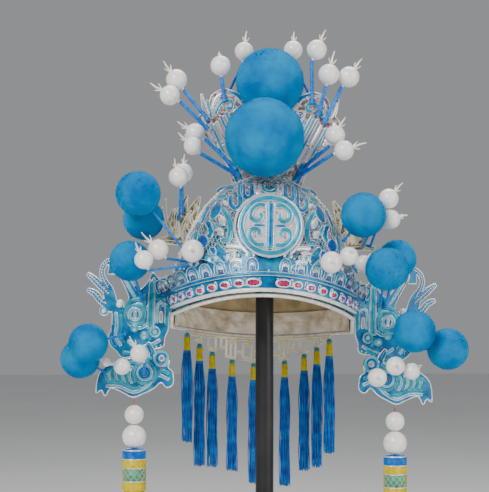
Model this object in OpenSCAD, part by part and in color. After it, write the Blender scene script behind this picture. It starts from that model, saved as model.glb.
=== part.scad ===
// Opera headdress on a plain stand. Millimetres, +Z up, front towards -Y.
// The origin is the middle of the stand's foot, on the floor.

/* [Stand] */
// Height of the cap's base line above the floor
rim_h = 380; // [370:5:420]
// Diameter of the stand's foot
foot_d = 220; // [200:5:260]
// Thickness of the stand's foot
foot_h = 14; // [12:1:20]
// Diameter of the stand's post
post_d = 18; // [16:1:22]
// How far the headdress leans sideways on the stand, degrees
lean = 1.8; // [0:0.1:2.5]
// How far the headdress sits off the post, sideways
seat_x = -2.5; // [-3:0.5:3]

/* [Cap] */
// Outer radius of the cap, its band and wall
cap_r = 91; // [90:1:93]
// Height of the upright part of the cap's wall
wall_h = 30; // [28:1:34]
// Height of the domed crown above that wall
crown_h = 125; // [120:1:128]
// Thickness of the cap's shell
shell_t = 2; // [1.5:0.5:3]
// Height of the front rim's arch at its middle
arch_h = 38.5; // [35:0.5:41]
// Radius of that arch, seen from the front
arch_r = 200; // [195:1:210]
// Height of the rear rim's ends above the base line
side_z = 4; // [2:0.5:5]
// How far the rear rim dips between its ends
nape_drop = 9.5; // [8:0.5:12]
// Height of the bright lining band inside the rear wall
lining_h = 22; // [16:1:26]
// Radius of the piping along the rim
piping_r = 2.1; // [1.6:0.1:2.4]

/* [Front] */
// Height of the band above the front rim
band_h = 37; // [34:1:40]
// Number of stones on each side of the band's middle
stones_side = 9; // [6:1:9]
// Angle between two stones, round the cap
stone_step = 8.6; // [7:0.1:9]
// Radius of the roundel on the cap's front
roundel_r = 30; // [28:1:32]
// Height of the roundel's middle above the side rim
roundel_z = 101; // [99:1:103]

/* [Crest and wings] */
// Thickness of the crest, the wings and the collars
plate_t = 1.8; // [1.5:0.1:2.2]
// Height of the raised lines on those plates
relief = 0.6; // [0.4:0.1:0.7]
// Angle that the wings sweep back, degrees
sweep = 13; // [8:1:16]
// Diameter of the wound stems under the crest's pearls
stem_d = 4; // [3:0.2:4]
// Diameter of the thin stems at the sides
thin_stem_d = 2.6; // [2:0.2:3]

/* [Tassels] */
// Number of silk locks in one rear tassel
locks = 8; // [6:1:9]
// Length of a middling rear tassel
tassel_l = 118; // [100:1:125]
// Length of the yellow head of one rear tassel
tassel_head = 18; // [14:1:22]
// Length of a side tassel's barrel
barrel_l = 42; // [38:1:46]
// Radius of that barrel
barrel_r = 11.5; // [11:0.5:12]
// Length of the silk skirt below it
skirt_l = 150; // [100:5:160]

/* [Hidden] */
$fn = 64;
gap = 0.3;
foot_r = 2;
arch_z = arch_h - arch_r;
nape_r = (pow(cap_r, 2) + pow(nape_drop, 2)) / (2 * nape_drop);
nape_z = nape_r - nape_drop + side_z;
crest_y = -8;
finial_y = -15;
fret_r = 102;
fret_z = 66;

// Pompoms: name, middle x y z, radius, what carries its stem, and where the stem's foot sits on that
// (x and z on the crest or a finial, u and z on a wing or collar, angle and z round the cap or band)
POMPOMS = [
    ["crest_lower", -6, -55, 188, 40, "crest", -6, 188],
    ["crest_upper", 0, -5, 248, 35.4, "crest_back", 8, 205],
    ["left_1", -126, -50, 130, 22.5, "cap", -60, 72],
    ["left_2", -121, -12, 107, 21, "cap", -85, 96],
    ["left_3", -132, -45, 65, 20.3, "wing", 120, 27],
    ["left_4", -170, -36, -16, 19.9, "wing", 137, -8],
    ["left_5", -180, 2, -33, 20.3, "collar", 155, -46],
    ["right_1", 93, -45, 117, 22.8, "cap", 72, 92],
    ["right_2", 117, -50, 65, 21.8, "wing", 117, 30],
    ["right_3", 132, -12, 76, 19.9, "wing", 123, 29],
    ["right_4", 148, -36, 5, 21.6, "wing", 141, 3],
    ["right_5", 185, -16, -12, 21.4, "wing", 149, -14]
];

// Pearls: region, middle x y z, radius, the carrier and foot as above, and the spike x y z from the middle
PEARLS = [
    ["crest_left", -93, -13, 246, 10.5, "crest", -62, 209, -13, 0, 17.5],
    ["crest_left", -99, -24, 229, 9.9, "crest", -62, 200, -19, 0, 11],
    ["crest_left", -50, -14, 261.5, 10, "crest", -45, 228, -1.5, 0, 13],
    ["crest_mid", -26, 20, 282, 9.6, "crest_back", -46, 224, 2, 0, 20],
    ["crest_mid", 24, 24, 286, 9.6, "crest_back", 47, 224, 0.5, 0, 18],
    ["crest_left", -73, -21, 193.5, 9.5, "crest", -33, 161, -17, 0, 10],
    ["crest_left", -75, -36, 179, 8.9, "crest", -30, 154, -14, 0, 12],
    ["crest_right", 45, -14, 281, 10, "crest", 42, 229, 8, 0, 19.5],
    ["crest_right", 57, -21, 256, 10.4, "crest", 49, 218, 5, 0, 22.5],
    ["crest_right", 78, -13, 255.5, 10.4, "crest", 55, 210, 12, 0, 18],
    ["crest_right", 65, -22, 196, 10, "crest", 33, 161, 9.5, 0, 17.5],
    ["crest_right", 73, -36, 180, 9.8, "crest", 30, 154, 21, 0, 8],
    ["side_left", -88, -40, 148, 9.6, "finial", -86, 109, -4, 0, 17],
    ["side_left", -83.5, -20, 153.5, 9.8, "finial", -82.5, 115, 1, 0, 18],
    ["side_left", -118, -73, 66, 9, "cap", -58, 62, -8, 0, 15.5],
    ["side_left", -105, -58, 76.5, 10, "cap", -62, 66, -16, 0, 15.5],
    ["side_left", -72, -64, 76, 11, "cap", -56, 78, 0, -14, 0],
    ["side_right", 59.5, -84, 69, 10.5, "cap", 41, 74, 0, -13, 0],
    ["side_right", 78, -64, 76, 9.1, "cap", 52, 76, 1.5, -11, 5],
    ["side_right", 97, -26, 70, 8.7, "cap", 74, 68, 6, -2, 9],
    ["side_right", 119.5, -28, 135, 9.8, "finial", 97, 88, 13, 0, 15.5],
    ["side_right", 122, -28, 114.5, 9.7, "finial", 104, 88, 16, 0, 4.5],
    ["ear_left", -121, -24, -25, 8.8, "collar", 115, -45, -9.5, 0, 16],
    ["ear_left", -137.5, -20, -38.5, 8.3, "collar", 133.2, -44, -12, 0, 4],
    ["ear_left", -153, -12, -35, 4.4, "collar", 146, -40, -6.5, 0, 2.5],
    ["ear_right", 114.5, -22, -42, 9.4, "collar", 110, -44, 0, -11, 0],
    ["ear_right", 132, -24, -30, 9.4, "wing", 133, -25, 0, -11, 0],
    ["ear_right", 149.5, -16, -35, 8.4, "collar", 143.5, -40.5, 8, 0, 5]
];
REGIONS = ["crest_left", "crest_mid", "crest_right", "side_left", "side_right", "ear_left", "ear_right"];

// Sides: name, sign of x, and the shift of the collar outwards
SIDES = [["left", -1, -6], ["right", 1, 6]];

// Rear tassels: the angle of each round the cap from the middle of its back, and by how much it is longer
TASSELS = [[-56, -5], [-43, 10], [-32, 3], [-17, 0], [-2, 10], [19, 15], [33, 5], [43, 8], [54, 1]];

// Strands at the sides: drop of each pearl's middle below the collar's hook, and its radius,
// then the drop of the barrel's top, and where the hook is on the collar
STRAND = [[16.9, 9.6], [38.7, 11.9]];
strand_l = 50.9;
hook_u = 132;
hook_z = -70.4;

// Places a headdress piece on the stand
module worn() translate([seat_x, 0, rim_h]) rotate([0, lean, 0]) children();

// Where a point of the headdress comes to lie on the stand
function leaned(p) = [
    seat_x + p[0] * cos(lean) + p[2] * sin(lean),
    p[1],
    rim_h - p[0] * sin(lean) + p[2] * cos(lean)
];

// Radius of the cap at a height
function cap_at(z) = z < wall_h ? cap_r : cap_r * sqrt(max(0, 1 - pow((z - wall_h) / crown_h, 2)));

// A smooth line through points, open or closed
function bend(a, b, c, d, t) =
    0.5 * (2 * b + (c - a) * t + (2 * a - 5 * b + 4 * c - d) * t * t + (3 * b - a - 3 * c + d) * t * t * t);
function loop(p, n) = let (m = len(p))
    [for (i = [0:m - 1]) for (k = [0:n - 1])
        bend(p[(i + m - 1) % m], p[i], p[(i + 1) % m], p[(i + 2) % m], k / n)];
function run(p, n) = let (m = len(p)) concat(
    [for (i = [0:m - 2]) for (k = [0:n - 1])
        bend(p[max(i - 1, 0)], p[i], p[i + 1], p[min(i + 2, m - 1)], k / n)],
    [p[m - 1]]);

// A flat strap along points that each give x, z and width
function side_step(q, i) =
    let (d = q[min(i + 1, len(q) - 1)] - q[max(i - 1, 0)], l = norm([d[0], d[1]]))
    [-d[1] / l, d[0] / l] * q[i][2] / 2;
module strap(points, n = 3) {
    q = run(points, n);
    polygon(concat(
        [for (i = [0:len(q) - 1]) [q[i][0], q[i][1]] + side_step(q, i)],
        [for (i = [len(q) - 1:-1:0]) [q[i][0], q[i][1]] - side_step(q, i)]));
}

module ring2d(p, r, w) translate(p) difference() {
    circle(r);
    circle(r - w);
}

module slot2d(p, a, l, w) translate(p) rotate(a) {
    square([l, w], center = true);
    translate([l / 2, 0]) circle(w / 2, $fn = 24);
    translate([-l / 2, 0]) circle(w / 2, $fn = 24);
}

module both() {
    children();
    mirror([1, 0]) children();
}

// An upright plate from a flat shape, its front face towards -Y
module upright(t) rotate([90, 0, 0]) linear_extrude(t) children();

function unit(v) = v / norm(v);

// A direction square to a path that lies in one plane
function square_to(a, b) =
    norm(cross(a, b)) > 0.01 ? unit(cross(a, b)) :
    unit(cross(a, abs(unit(a)[2]) < 0.9 ? [0, 0, 1] : [1, 0, 0]));

// A round bar along rows of x, y, z and radius, whose path lies in one plane
module bar(rows, sides = 8) {
    m = len(rows);
    path = [for (r = rows) [r[0], r[1], r[2]]];
    ref = square_to(path[2] - path[0], path[m - 1] - path[m - 2]);
    points = [for (i = [0:m - 1]) let (
            before = i > 0 ? unit(path[i] - path[i - 1]) : [0, 0, 0],
            after = i < m - 1 ? unit(path[i + 1] - path[i]) : [0, 0, 0],
            up = cross(unit(before + after), ref))
        for (k = [0:sides - 1]) path[i] + rows[i][3] * (cos(360 * k / sides) * ref + sin(360 * k / sides) * up)];
    faces = concat(
        [[for (k = [0:sides - 1]) k]],
        [for (i = [0:m - 2]) for (k = [0:sides - 1]) let (l = (k + 1) % sides)
            [i * sides + l, i * sides + k, (i + 1) * sides + k, (i + 1) * sides + l]],
        [[for (k = [sides - 1:-1:0]) (m - 1) * sides + k]]);
    polyhedron(points, faces, convexity = 4);
}

// Stand

module stand_foot() color("dimgray") difference() {
    rotate_extrude($fn = 128) polygon([
        [0, 0], [foot_d / 2 - 1, 0], [foot_d / 2, 1], [foot_d / 2, foot_h - 5],
        [foot_d / 2 - 5, foot_h], [post_d, foot_h], [post_d, foot_h + 8], [0, foot_h + 8]]);
    translate([0, 0, 4]) cylinder(h = foot_h + 8, d = post_d + 2 * gap);
}

// The pad under the crown, cut to the crown's inner curve, and the post that carries it
pad_low = wall_h + crown_h * 0.84;
pad_socket = 8;
module stand_pad() color("black") difference() {
    worn() intersection() {
        dome(-shell_t - gap);
        translate([0, 0, pad_low]) cylinder(h = crown_h, r = 60);
    }
    translate([0, 0, rim_h]) cylinder(h = pad_low + pad_socket, d = post_d + 2 * gap);
}

module stand_post() color("black")
    translate([0, 0, 4 + gap]) cylinder(h = rim_h + pad_low + pad_socket - 4 - 2 * gap, d = post_d);

// Cap

module dome(d) rotate_extrude($fn = 128) polygon(concat(
    [[0, -60], [cap_r + d, -60]],
    [for (a = [0:6:90]) [(cap_r + d) * cos(a), wall_h + (crown_h + d) * sin(a)]]));

module layer(inner, outer) difference() {
    dome(outer);
    dome(inner);
}

// All that lies below the rim, raised by g
module below_rim(g = 0) {
    rotate([90, 0, 0]) translate([0, arch_z, 0]) cylinder(h = 150, r = arch_r + g, $fn = 128);
    difference() {
        translate([-150, 0, -100]) cube([300, 150, 101 + side_z + g]);
        rotate([-90, 0, 0]) translate([0, -nape_z, -1]) cylinder(h = 160, r = nape_r - g, $fn = 128);
    }
}

module cap_shell() color("silver") worn() difference() {
    layer(-shell_t, 0);
    below_rim();
}

module cap_lining() color("wheat") worn() difference() {
    intersection() {
        layer(-shell_t - 1.8, -shell_t - gap);
        below_rim(lining_h);
        translate([-150, 0.5, -60]) cube([300, 150, 160]);
    }
    below_rim(0.5);
}

// The piping's line: the front arch, a step down at each side, and the rear dip
piping_off = piping_r + gap;
piping_at = cap_r - shell_t / 2;
function arch_at(x, off) = arch_z + sqrt(pow(arch_r - off, 2) - x * x);
function nape_at(x, off) = nape_z - sqrt(pow(nape_r + off, 2) - x * x);
piping_path = concat(
    [for (a = [-87:6:87]) let (x = piping_at * sin(a)) [x, -piping_at * cos(a), arch_at(x, piping_off)]],
    [[piping_at, -piping_off, arch_at(piping_at, piping_off)], [piping_at, -piping_off, side_z - piping_off]],
    [for (a = [87:-6:-87]) let (x = piping_at * sin(a)) [x, piping_at * cos(a), nape_at(x, piping_off)]],
    [[-piping_at, -piping_off, side_z - piping_off], [-piping_at, -piping_off, arch_at(piping_at, piping_off)]]);

// A closed round tube along a path that lies on an upright cylinder
module cord_loop(path, r, sides = 8) {
    m = len(path);
    points = [for (i = [0:m - 1]) let (
            along = path[(i + 1) % m] - path[(i + m - 1) % m],
            out = [path[i][0], path[i][1], 0] / norm([path[i][0], path[i][1]]),
            up = cross(along, out) / norm(cross(along, out)),
            level = cross(up, along) / norm(cross(up, along)))
        for (k = [0:sides - 1]) path[i] + r * (cos(360 * k / sides) * level + sin(360 * k / sides) * up)];
    faces = [for (i = [0:m - 1]) for (k = [0:sides - 1]) let (
            j = (i + 1) % m, l = (k + 1) % sides)
        [i * sides + k, i * sides + l, j * sides + l, j * sides + k]];
    polyhedron(points, faces, convexity = 4);
}

module rim_piping() color("whitesmoke") worn() cord_loop(piping_path, piping_r);

// Raised lines on the crown, on both sides of the roundel
module tracery2d() {
    ring2d([0, roundel_z], roundel_r + 6.4, 2.4);
    both() {
        strap([[12, 150, 2.4], [12, 144, 2.4], [19, 137, 2.4], [26, 142, 2.4], [26, 147, 2.4]]);
        strap([[33, 141, 2.4], [34, 133, 2.4], [39, 126, 2.4], [45, 130, 2.4], [44, 136, 2.4]]);
        strap([[40, 120, 2.4], [50, 114, 3], [53, 102, 3], [47, 93, 2.4], [42, 99, 2.4], [46, 105, 2]]);
        strap([[56, 118, 2.4], [62, 106, 3], [62, 92, 3], [54, 84, 2.4]]);
    }
}

module cap_tracery() color("deepskyblue") worn() intersection() {
    layer(gap / 2, 1.3);
    translate([0, -gap, 0]) upright(120) difference() {
        tracery2d();
        translate([0, arch_z]) circle(arch_r + band_h + 3, $fn = 180);
    }
}

// Front

module arch_band2d(low, high) difference() {
    translate([0, arch_z]) difference() {
        circle(arch_r + high, $fn = 180);
        circle(arch_r + low, $fn = 180);
    }
    translate([-200, -400]) square([400, 400]);
}

module front_band() color("deepskyblue") worn() {
    intersection() {
        layer(gap, 2.3);
        translate([0, -14, 0]) upright(120) {
            arch_band2d(1, band_h - 4);
            for (k = [-5:5]) let (a = k * 4.2)
                translate([(arch_r + band_h - 5) * sin(a), arch_z + (arch_r + band_h - 5) * cos(a)])
                    circle(7, $fn = 32);
        }
    }
    intersection() {
        layer(gap, 3.2);
        translate([0, -14, 0]) upright(120) {
            arch_band2d(1, 5.6);
            arch_band2d(16, 18.8);
        }
    }
}

// A cut stone: eight side facets and a flat table
module stone(w, h) scale([w / 2, h / 2, 1]) cylinder(h = 2.4, r1 = 1, r2 = 0.6, $fn = 8);

stone_arc = arch_r + 9.6;
module band_stones() color("crimson") worn() {
    for (k = [-stones_side:stones_side]) if (k != 0) let (
            a = k * stone_step, x = (cap_r + 2.6) * sin(a), z = arch_z + sqrt(pow(stone_arc, 2) - x * x))
        translate([x, -(cap_at(z) + 2.6 + gap) * cos(a), z]) rotate([90, 0, a])
            stone(abs(k) < 2 ? 12 : 7.4, abs(k) < 2 ? 5.4 : 4.6);
}

// A round plaque with a scroll to each side of its middle bar
module scroll2d() {
    slot2d([0, 0], 90, 44, 5.5);
    both() {
        strap([[3, 19, 3], [12, 20.5, 3], [18.5, 14, 3], [18.5, 6, 3], [12, 3, 3], [9, 9, 2.4]]);
        strap([[3, -19, 3], [13, -19.5, 3], [19.5, -12, 3], [17.5, -4, 3], [11.5, -4, 3], [10, -10, 2.4]]);
    }
}

module roundel() color("deepskyblue") worn() difference() {
    translate([0, -cap_at(roundel_z) - 10.5, roundel_z]) rotate([-14, 0, 0]) {
        upright(plate_t) circle(roundel_r);
        upright(plate_t + 1.2) {
            ring2d([0, 0], roundel_r, 3);
            scroll2d();
        }
        // The stalk that carries the plaque
        rotate([-90, 0, 0]) cylinder(h = 20, d = 8);
    }
    dome(gap);
}

// Crest

// The crest is pierced in slanted columns: column, then start and end along the slant.
// The raised lines run between the columns and stop short of the stems' feet.
slant = 64;
slant_step = 5.9;
PIERCED = [[0, 14, 24], [1, -9, 4], [1, 10, 26], [2, -14, 2], [2, 8, 29], [2, 40, 44], [3, 8, 30]];
RAISED = [[0.5, -4, 30], [1.5, -12, 29], [2.5, -10, 33]];
module slanted(rows, w) both() translate([40, 180]) rotate(slant)
    for (r = rows) slot2d([(r[1] + r[2]) / 2, slant_step * (r[0] - 1.4)], 0, r[2] - r[1], w);

module crest2d() difference() {
    union() {
        polygon(loop([
            [0, 140], [30, 141], [36, 152], [43, 168], [55, 184], [67, 197], [70, 211], [61, 219],
            [58, 232], [46, 239], [33, 236], [20, 228], [0, 226], [-20, 228], [-33, 236], [-46, 239],
            [-58, 232], [-61, 219], [-70, 211], [-67, 197], [-55, 184], [-43, 168], [-36, 152], [-30, 141]], 3));
        both() strap([[60, 212, 8], [65, 222, 5], [68, 233, 1.5]]);
    }
    translate([0, 248]) circle(36.6);
    slanted(PIERCED, 3.6);
    both() {
        slot2d([16, 172], 60, 10, 3.4);
        translate([53, 228]) circle(2.2, $fn = 24);
    }
}

module crest_plate() color("silver") worn() translate([0, crest_y, 0]) difference() {
    union() {
        upright(plate_t) crest2d();
        upright(plate_t + relief) {
            slanted(RAISED, 1.4);
            both() ring2d([31, 216], 4.6, 1.6);
        }
    }
    translate([0, -crest_y, 0]) dome(gap);
}

// Wings: u is the distance from the headdress's middle plane

module wing2d() difference() {
    union() {
        polygon(loop([
            [91.5, 42], [104, 49], [110.5, 55], [115, 46], [124, 37], [131, 40], [134, 30], [137, 20],
            [150, 19], [151, 8], [151.5, -3], [154, -10], [152, -19], [145, -25], [139, -31],
            [128, -29], [114, -22], [98, -19], [96, -9], [92.9, -1], [92.7, 12], [91.5, 19]], 3));
        strap([[127, 26, 10], [134, 40, 9], [141, 52, 8], [146, 60, 6]]);
        strap([[144, 55, 5], [147, 63, 5], [154, 66, 5], [161, 61, 5], [163, 53, 5], [160, 45, 6], [156, 38, 8]]);
        strap([[158, 42, 8], [155, 33, 12], [153, 26, 12], [149, 16, 11]]);
        strap([[155, 32, 6], [162.5, 39, 6.5], [169, 45, 6.5], [178, 52, 3.5]]);
        strap([[155, 22, 8], [163, 25, 6.5], [169, 32, 6.5], [177.5, 36, 3.5]]);
        strap([[149, 18, 7], [155, 18, 6], [160, 17, 6]]);
        translate([159.5, 15]) circle(4.6);
        translate([143.5, 22]) circle(4.2);
        strap([[153, 65, 7], [152.5, 60, 7], [152.5, 52, 9]]);
    }
    slot2d([127.5, 12.5], 90, 5, 2);
    slot2d([100.6, 11], 90, 8, 3);
    translate([127.5, -1]) circle(1.8, $fn = 24);
    translate([117.5, -8]) circle(1.6, $fn = 24);
    translate([106.5, -4]) circle(1.5, $fn = 24);
}

module wing_relief2d() {
    ring2d([127.5, 12.5], 6.6, 2);
    ring2d([124, 11], 13, 2.2);
    ring2d([106.5, -4], 5, 1.6);
    strap([[109, -1, 2.2], [108.5, 25, 2.2], [109, 50, 2.2]]);
    strap([[113.5, -1, 2.2], [113, 25, 2.2], [112, 48, 2.2]]);
    strap([[96, 5, 2], [96, 22, 2], [104, 24, 2], [105, 5, 2]]);
    strap([[134, -14, 2.4], [124, -20, 2.4], [110, -17, 2.4], [101, -12, 2]]);
    strap([[147, 14, 2.4], [146, 0, 2.4], [147, -10, 2.4], [141, -19, 2.4]]);
    strap([[128, 30, 2], [136, 42, 2], [143, 53, 2]]);
}

// Puts a plate drawn at u on one side, swept back from the cap's side
module at_side(sign) worn() mirror([sign < 0 ? 1 : 0, 0, 0])
    translate([cap_r + gap, 0, 0]) rotate([0, 0, sweep]) translate([-cap_r, 0, 0]) children();

module wing(sign) color("deepskyblue") at_side(sign) {
    upright(plate_t) wing2d();
    upright(plate_t + relief) wing_relief2d();
}

module collar2d() difference() {
    union() {
        polygon(loop([
            [104, -22], [112, -27], [125, -31], [140, -32], [155, -37], [164, -43], [169, -51],
            [170.5, -67], [165, -64], [161, -70], [156, -62], [149, -63], [142, -66], [132, -70],
            [122, -66], [112, -61], [104, -54], [98, -59], [91.5, -55], [92.5, -43], [97, -39],
            [96, -32], [98, -25]], 3));
        translate([104, -30]) circle(8);
        strap([[112, -30, 8], [115, -22, 6], [119, -15, 3.4]]);
    }
    translate([104, -30]) circle(2.6, $fn = 24);
    slot2d([119, -37], 60, 5, 2.4);
    slot2d([158, -52], 80, 7, 2.4);
}

module collar_relief2d() {
    ring2d([104, -30], 8, 2);
    ring2d([121, -45], 8, 2);
    strap([[96, -51, 2.2], [108, -47, 2.2], [118, -58, 2.2], [132, -65, 2.2], [146, -60, 2.2], [160, -60, 2.2]]);
    for (i = [0:3]) strap([[134 + 7 * i, -39 - i, 2], [137 + 7 * i, -48, 2], [134 + 7 * i, -56, 2]]);
}

// The collar lies in front of the wing's raised lines; its neck reaches over the wing's lower edge
collar_off = plate_t + relief + gap;
module collar(side) color("deepskyblue") at_side(side[1])
    translate([side[2], -collar_off, 0]) {
        upright(plate_t) collar2d();
        upright(plate_t + relief) collar_relief2d();
    }

// Finials: filigree leaves that stand out from the cap's sides

module finial2d() difference() {
    union() {
        strap([[60, 84, 6], [84, 86, 7], [98, 87, 7], [108, 85, 4]]);
        strap([[84, 86, 5], [87, 98, 11], [84, 114, 11], [79, 132, 1.5]]);
        strap([[91, 86, 5], [93.5, 96, 9], [94.5, 105, 7], [92, 118, 1.5]]);
        strap([[66, 96, 6], [75, 104, 10], [72, 118, 9], [66, 131, 1.5]]);
    }
    slot2d([86.5, 100], 82, 7, 3);
    slot2d([93.3, 97], 84, 5, 2.4);
    slot2d([74, 109], 78, 7, 2.6);
}

module finial(sign) color("silver") worn() mirror([sign < 0 ? 1 : 0, 0, 0])
    translate([0, finial_y, 0]) difference() {
        upright(plate_t) finial2d();
        translate([0, -finial_y, 0]) dome(gap);
    }

// Rear fretwork and tassels

// The lower edge is a short bar over each tassel, from x to x, and keys of bar join it to the top bar
fret_bar = 2.5;
FRET_EDGE = [[-0.5, 6.8], [22.2, 33.8], [43.4, 52.8], [58.2, 66.2]];
FRET_KEYS = [
    [[65, -3], [65, -12.6]], [[59.4, -4], [59.4, -17]], [[51.8, -5], [51.8, -21.6]], [[44.4, -6], [44.4, -25.7]],
    [[38.4, -7], [38.4, -20.5], [33, -20.5]], [[32.8, -7], [32.8, -30.4]],
    [[28, -31.5], [28, -17.5]], [[23.2, -8], [23.2, -33]], [[32.8, -14.5], [23.2, -14.5]],
    [[23.2, -26], [14.8, -26], [14.8, -17], [6, -17]], [[14.8, -26], [14.8, -32], [6, -32]],
    [[5.8, -9], [5.8, -35.5]], [[5.8, -25], [-0.5, -25]]];
function fret_low(x) = fret_z - sqrt(pow(fret_r, 2) - x * x);

// Bars of one width that run level or upright from point to point
module key_bars(path, w) for (i = [1:len(path) - 1]) let (a = path[i - 1], b = path[i])
    translate([min(a[0], b[0]) - w / 2, min(a[1], b[1]) - w / 2])
        square([abs(a[0] - b[0]) + w, abs(a[1] - b[1]) + w]);

module fret2d() intersection() {
    translate([0, nape_z]) difference() {
        circle(nape_r + 120, $fn = 240);
        circle(nape_r + 2 * piping_off, $fn = 240);
    }
    translate([0, fret_z]) circle(fret_r, $fn = 180);
    union() {
        translate([0, nape_z]) circle(nape_r + 2 * piping_off + fret_bar, $fn = 240);
        both() {
            for (edge = FRET_EDGE) intersection() {
                translate([0, fret_z]) difference() {
                    circle(fret_r + fret_bar, $fn = 180);
                    circle(fret_r - fret_bar, $fn = 180);
                }
                translate([edge[0], -50]) square([edge[1] - edge[0], 50]);
            }
            for (key = FRET_KEYS) key_bars(key, fret_bar);
        }
    }
}

module rear_fret() color("tan") worn() intersection() {
    layer(-shell_t + 0.2, -0.2);
    rotate([90, 0, 0]) translate([0, 0, -120]) linear_extrude(110) fret2d();
}

// A tassel's knot hangs just clear of the fretwork's edge, or of the piping where that is lower
knot_r = 3;
function tassel_top(a) = let (x = (cap_r - 1) * sin(a), edge = sqrt(1 - pow(x / fret_r, 2)))
    leaned([x, (cap_r - 1) * cos(a), min(
        fret_low(x) - (knot_r + gap) / edge + knot_r,
        nape_at(x, 2 * piping_off) - gap)]);

// Silk locks round a core, fused to it
module silk(n, ring, r, l) {
    translate([0, 0, -l]) cylinder(h = l, r = ring, $fn = 32);
    for (i = [0:n - 1]) rotate(360 * i / n) translate([ring, 0, -l - 2 - i % 3 * 1.5])
        cylinder(h = l + 2 + i % 3 * 1.5, r = r, $fn = 24);
}

module rear_tassel(row) translate(tassel_top(row[0])) {
    color("teal") translate([0, 0, -knot_r]) sphere(knot_r, $fn = 32);
    color("khaki") translate([0, 0, -tassel_head]) cylinder(h = tassel_head - 3.5, r = 3.7, $fn = 32);
    color("deepskyblue") translate([0, 0, 0.5 - tassel_head])
        silk(locks, 3.6, 2.4, tassel_l + row[1] - tassel_head - 4);
}

// Pompoms: a ball whose surface is parted into shallow locks
pompom_turns = 18;
pompom_rows = 10;
lock_depth = 0.02;
module pompom(p) color("deepskyblue") worn() translate([p[1], p[2], p[3]]) {
    r = p[4];
    points = concat(
        [[0, 0, -r * (1 - lock_depth)]],
        [for (j = [1:pompom_rows]) for (i = [0:pompom_turns - 1]) let (
                lat = -90 + 180 * j / (pompom_rows + 1), lon = 360 * i / pompom_turns,
                s = r * (1 - lock_depth * ((i + j) % 3 == 0 ? 1 : 0)))
            [s * cos(lat) * cos(lon), s * cos(lat) * sin(lon), s * sin(lat)]],
        [[0, 0, r * (1 - lock_depth)]]);
    top = pompom_rows * pompom_turns + 1;
    faces = concat(
        [for (i = [0:pompom_turns - 1]) [0, 1 + i, 1 + (i + 1) % pompom_turns]],
        [for (j = [0:pompom_rows - 2]) for (i = [0:pompom_turns - 1]) let (
                a = 1 + j * pompom_turns + i, b = 1 + j * pompom_turns + (i + 1) % pompom_turns)
            [a, a + pompom_turns, b + pompom_turns, b]],
        [for (i = [0:pompom_turns - 1])
            [top, top - pompom_turns + (i + 1) % pompom_turns, top - pompom_turns + i]]);
    polyhedron(points, faces, convexity = 2);
}

// Pearls on wound stems, each with a thin wire through it that ends in a spike

function middle(p) = [p[1], p[2], p[3]];
function aim(p) = unit([p[8], p[9], p[10]]);
function spike_l(p) = max(3, norm([p[8], p[9], p[10]]) - p[4]);
wire_r = 0.7;
bore_r = wire_r + 0.15;

// Where a stem's foot sits: just clear of the bare face of what carries it
stand_off = gap + foot_r;
function on_plate(sign, u, z, front) = let (out = u - cap_r, y = -front - stand_off)
    [sign * (cap_r + gap + out * cos(sweep) - y * sin(sweep)), out * sin(sweep) + y * cos(sweep), z];
function on_cap(a, z) = let (
        r = cap_at(z), slope = unit([r / pow(cap_r, 2), (z - wall_h) / pow(crown_h, 2)]),
        out = r + stand_off * slope[0])
    [out * sin(a), -out * cos(a), z + stand_off * slope[1]];
function foot(p) =
    p[5] == "crest" ? [p[6], crest_y - plate_t - stand_off, p[7]] :
    p[5] == "crest_back" ? [p[6], crest_y + stand_off, p[7]] :
    p[5] == "finial" ? [p[6], finial_y - plate_t - stand_off, p[7]] :
    p[5] == "wing" ? on_plate(sign(p[1]), p[6], p[7], plate_t) :
    p[5] == "collar" ? on_plate(sign(p[1]), p[6], p[7], plate_t + collar_off) :
    on_cap(p[6], p[7]);

// A pearl with its bore, turned about the bore's own line
module pearl(p) let (v = aim(p), r = p[4])
    translate(middle(p)) rotate([0, acos(v[2]), atan2(v[1], v[0])]) rotate_extrude($fn = 48)
        difference() {
            circle(r, $fn = 48);
            translate([bore_r - 2 * r, -2 * r]) square([2 * r, 4 * r]);
        }

module pearls(region) color("ivory") worn()
    for (p = PEARLS) if (p[0] == region) pearl(p);

// The rows of a bar's swollen foot
function foot_rows(f, v, r) = [concat(f - 1.8 * v, 0.8), concat(f, foot_r), concat(f + 1.5 * v, r)];

module pearl_stem(p) {
    crest = p[0] == "crest_left" || p[0] == "crest_right";
    r = (crest ? stem_d : thin_stem_d) / 2;
    v = aim(p);
    knee = middle(p) - v * (p[4] + bore_r + r);
    outer = middle(p) + v * (p[4] + bore_r);
    bar(concat(foot_rows(foot(p), unit(knee - foot(p)), r), [
        concat(knee, r),
        concat(knee + v * r, wire_r),
        concat(outer, wire_r),
        concat(outer + v * 0.4, 1.5),
        concat(outer + v * spike_l(p), 0.5)]));
}

module pompom_stem(p) {
    v = unit(middle(p) - foot(p));
    bar(concat(foot_rows(foot(p), v, thin_stem_d / 2),
        [concat(middle(p) - v * (p[4] * (1 - lock_depth) + gap), thin_stem_d / 2)]));
}

// The region whose stems carry each pompom, by where the pompom is
function region_of(p) =
    p[0] == "crest_lower" || p[0] == "crest_upper" ? "crest_mid" :
    p[1] < 0 ? (p[3] > 50 ? "side_left" : "ear_left") :
    p[3] > 50 ? "side_right" : "ear_right";

module stems(region) color("royalblue") worn() {
    for (p = PEARLS) if (p[0] == region) pearl_stem(p);
    for (p = POMPOMS) if (region_of(p) == region) pompom_stem(p);
}

// Side strands: thread, pearls, and a barrel with a silk skirt, hanging straight down

function hook(side) = let (d = hook_u + side[2] - cap_r)
    leaned([side[1] * (cap_r + gap + d * cos(sweep)), d * sin(sweep) - collar_off - plate_t / 2, hook_z]);

module strand_thread(side) color("brown") translate(hook(side) - [0, 0, strand_l + 5])
    cylinder(h = strand_l + 5, r = wire_r, $fn = 24);

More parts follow.
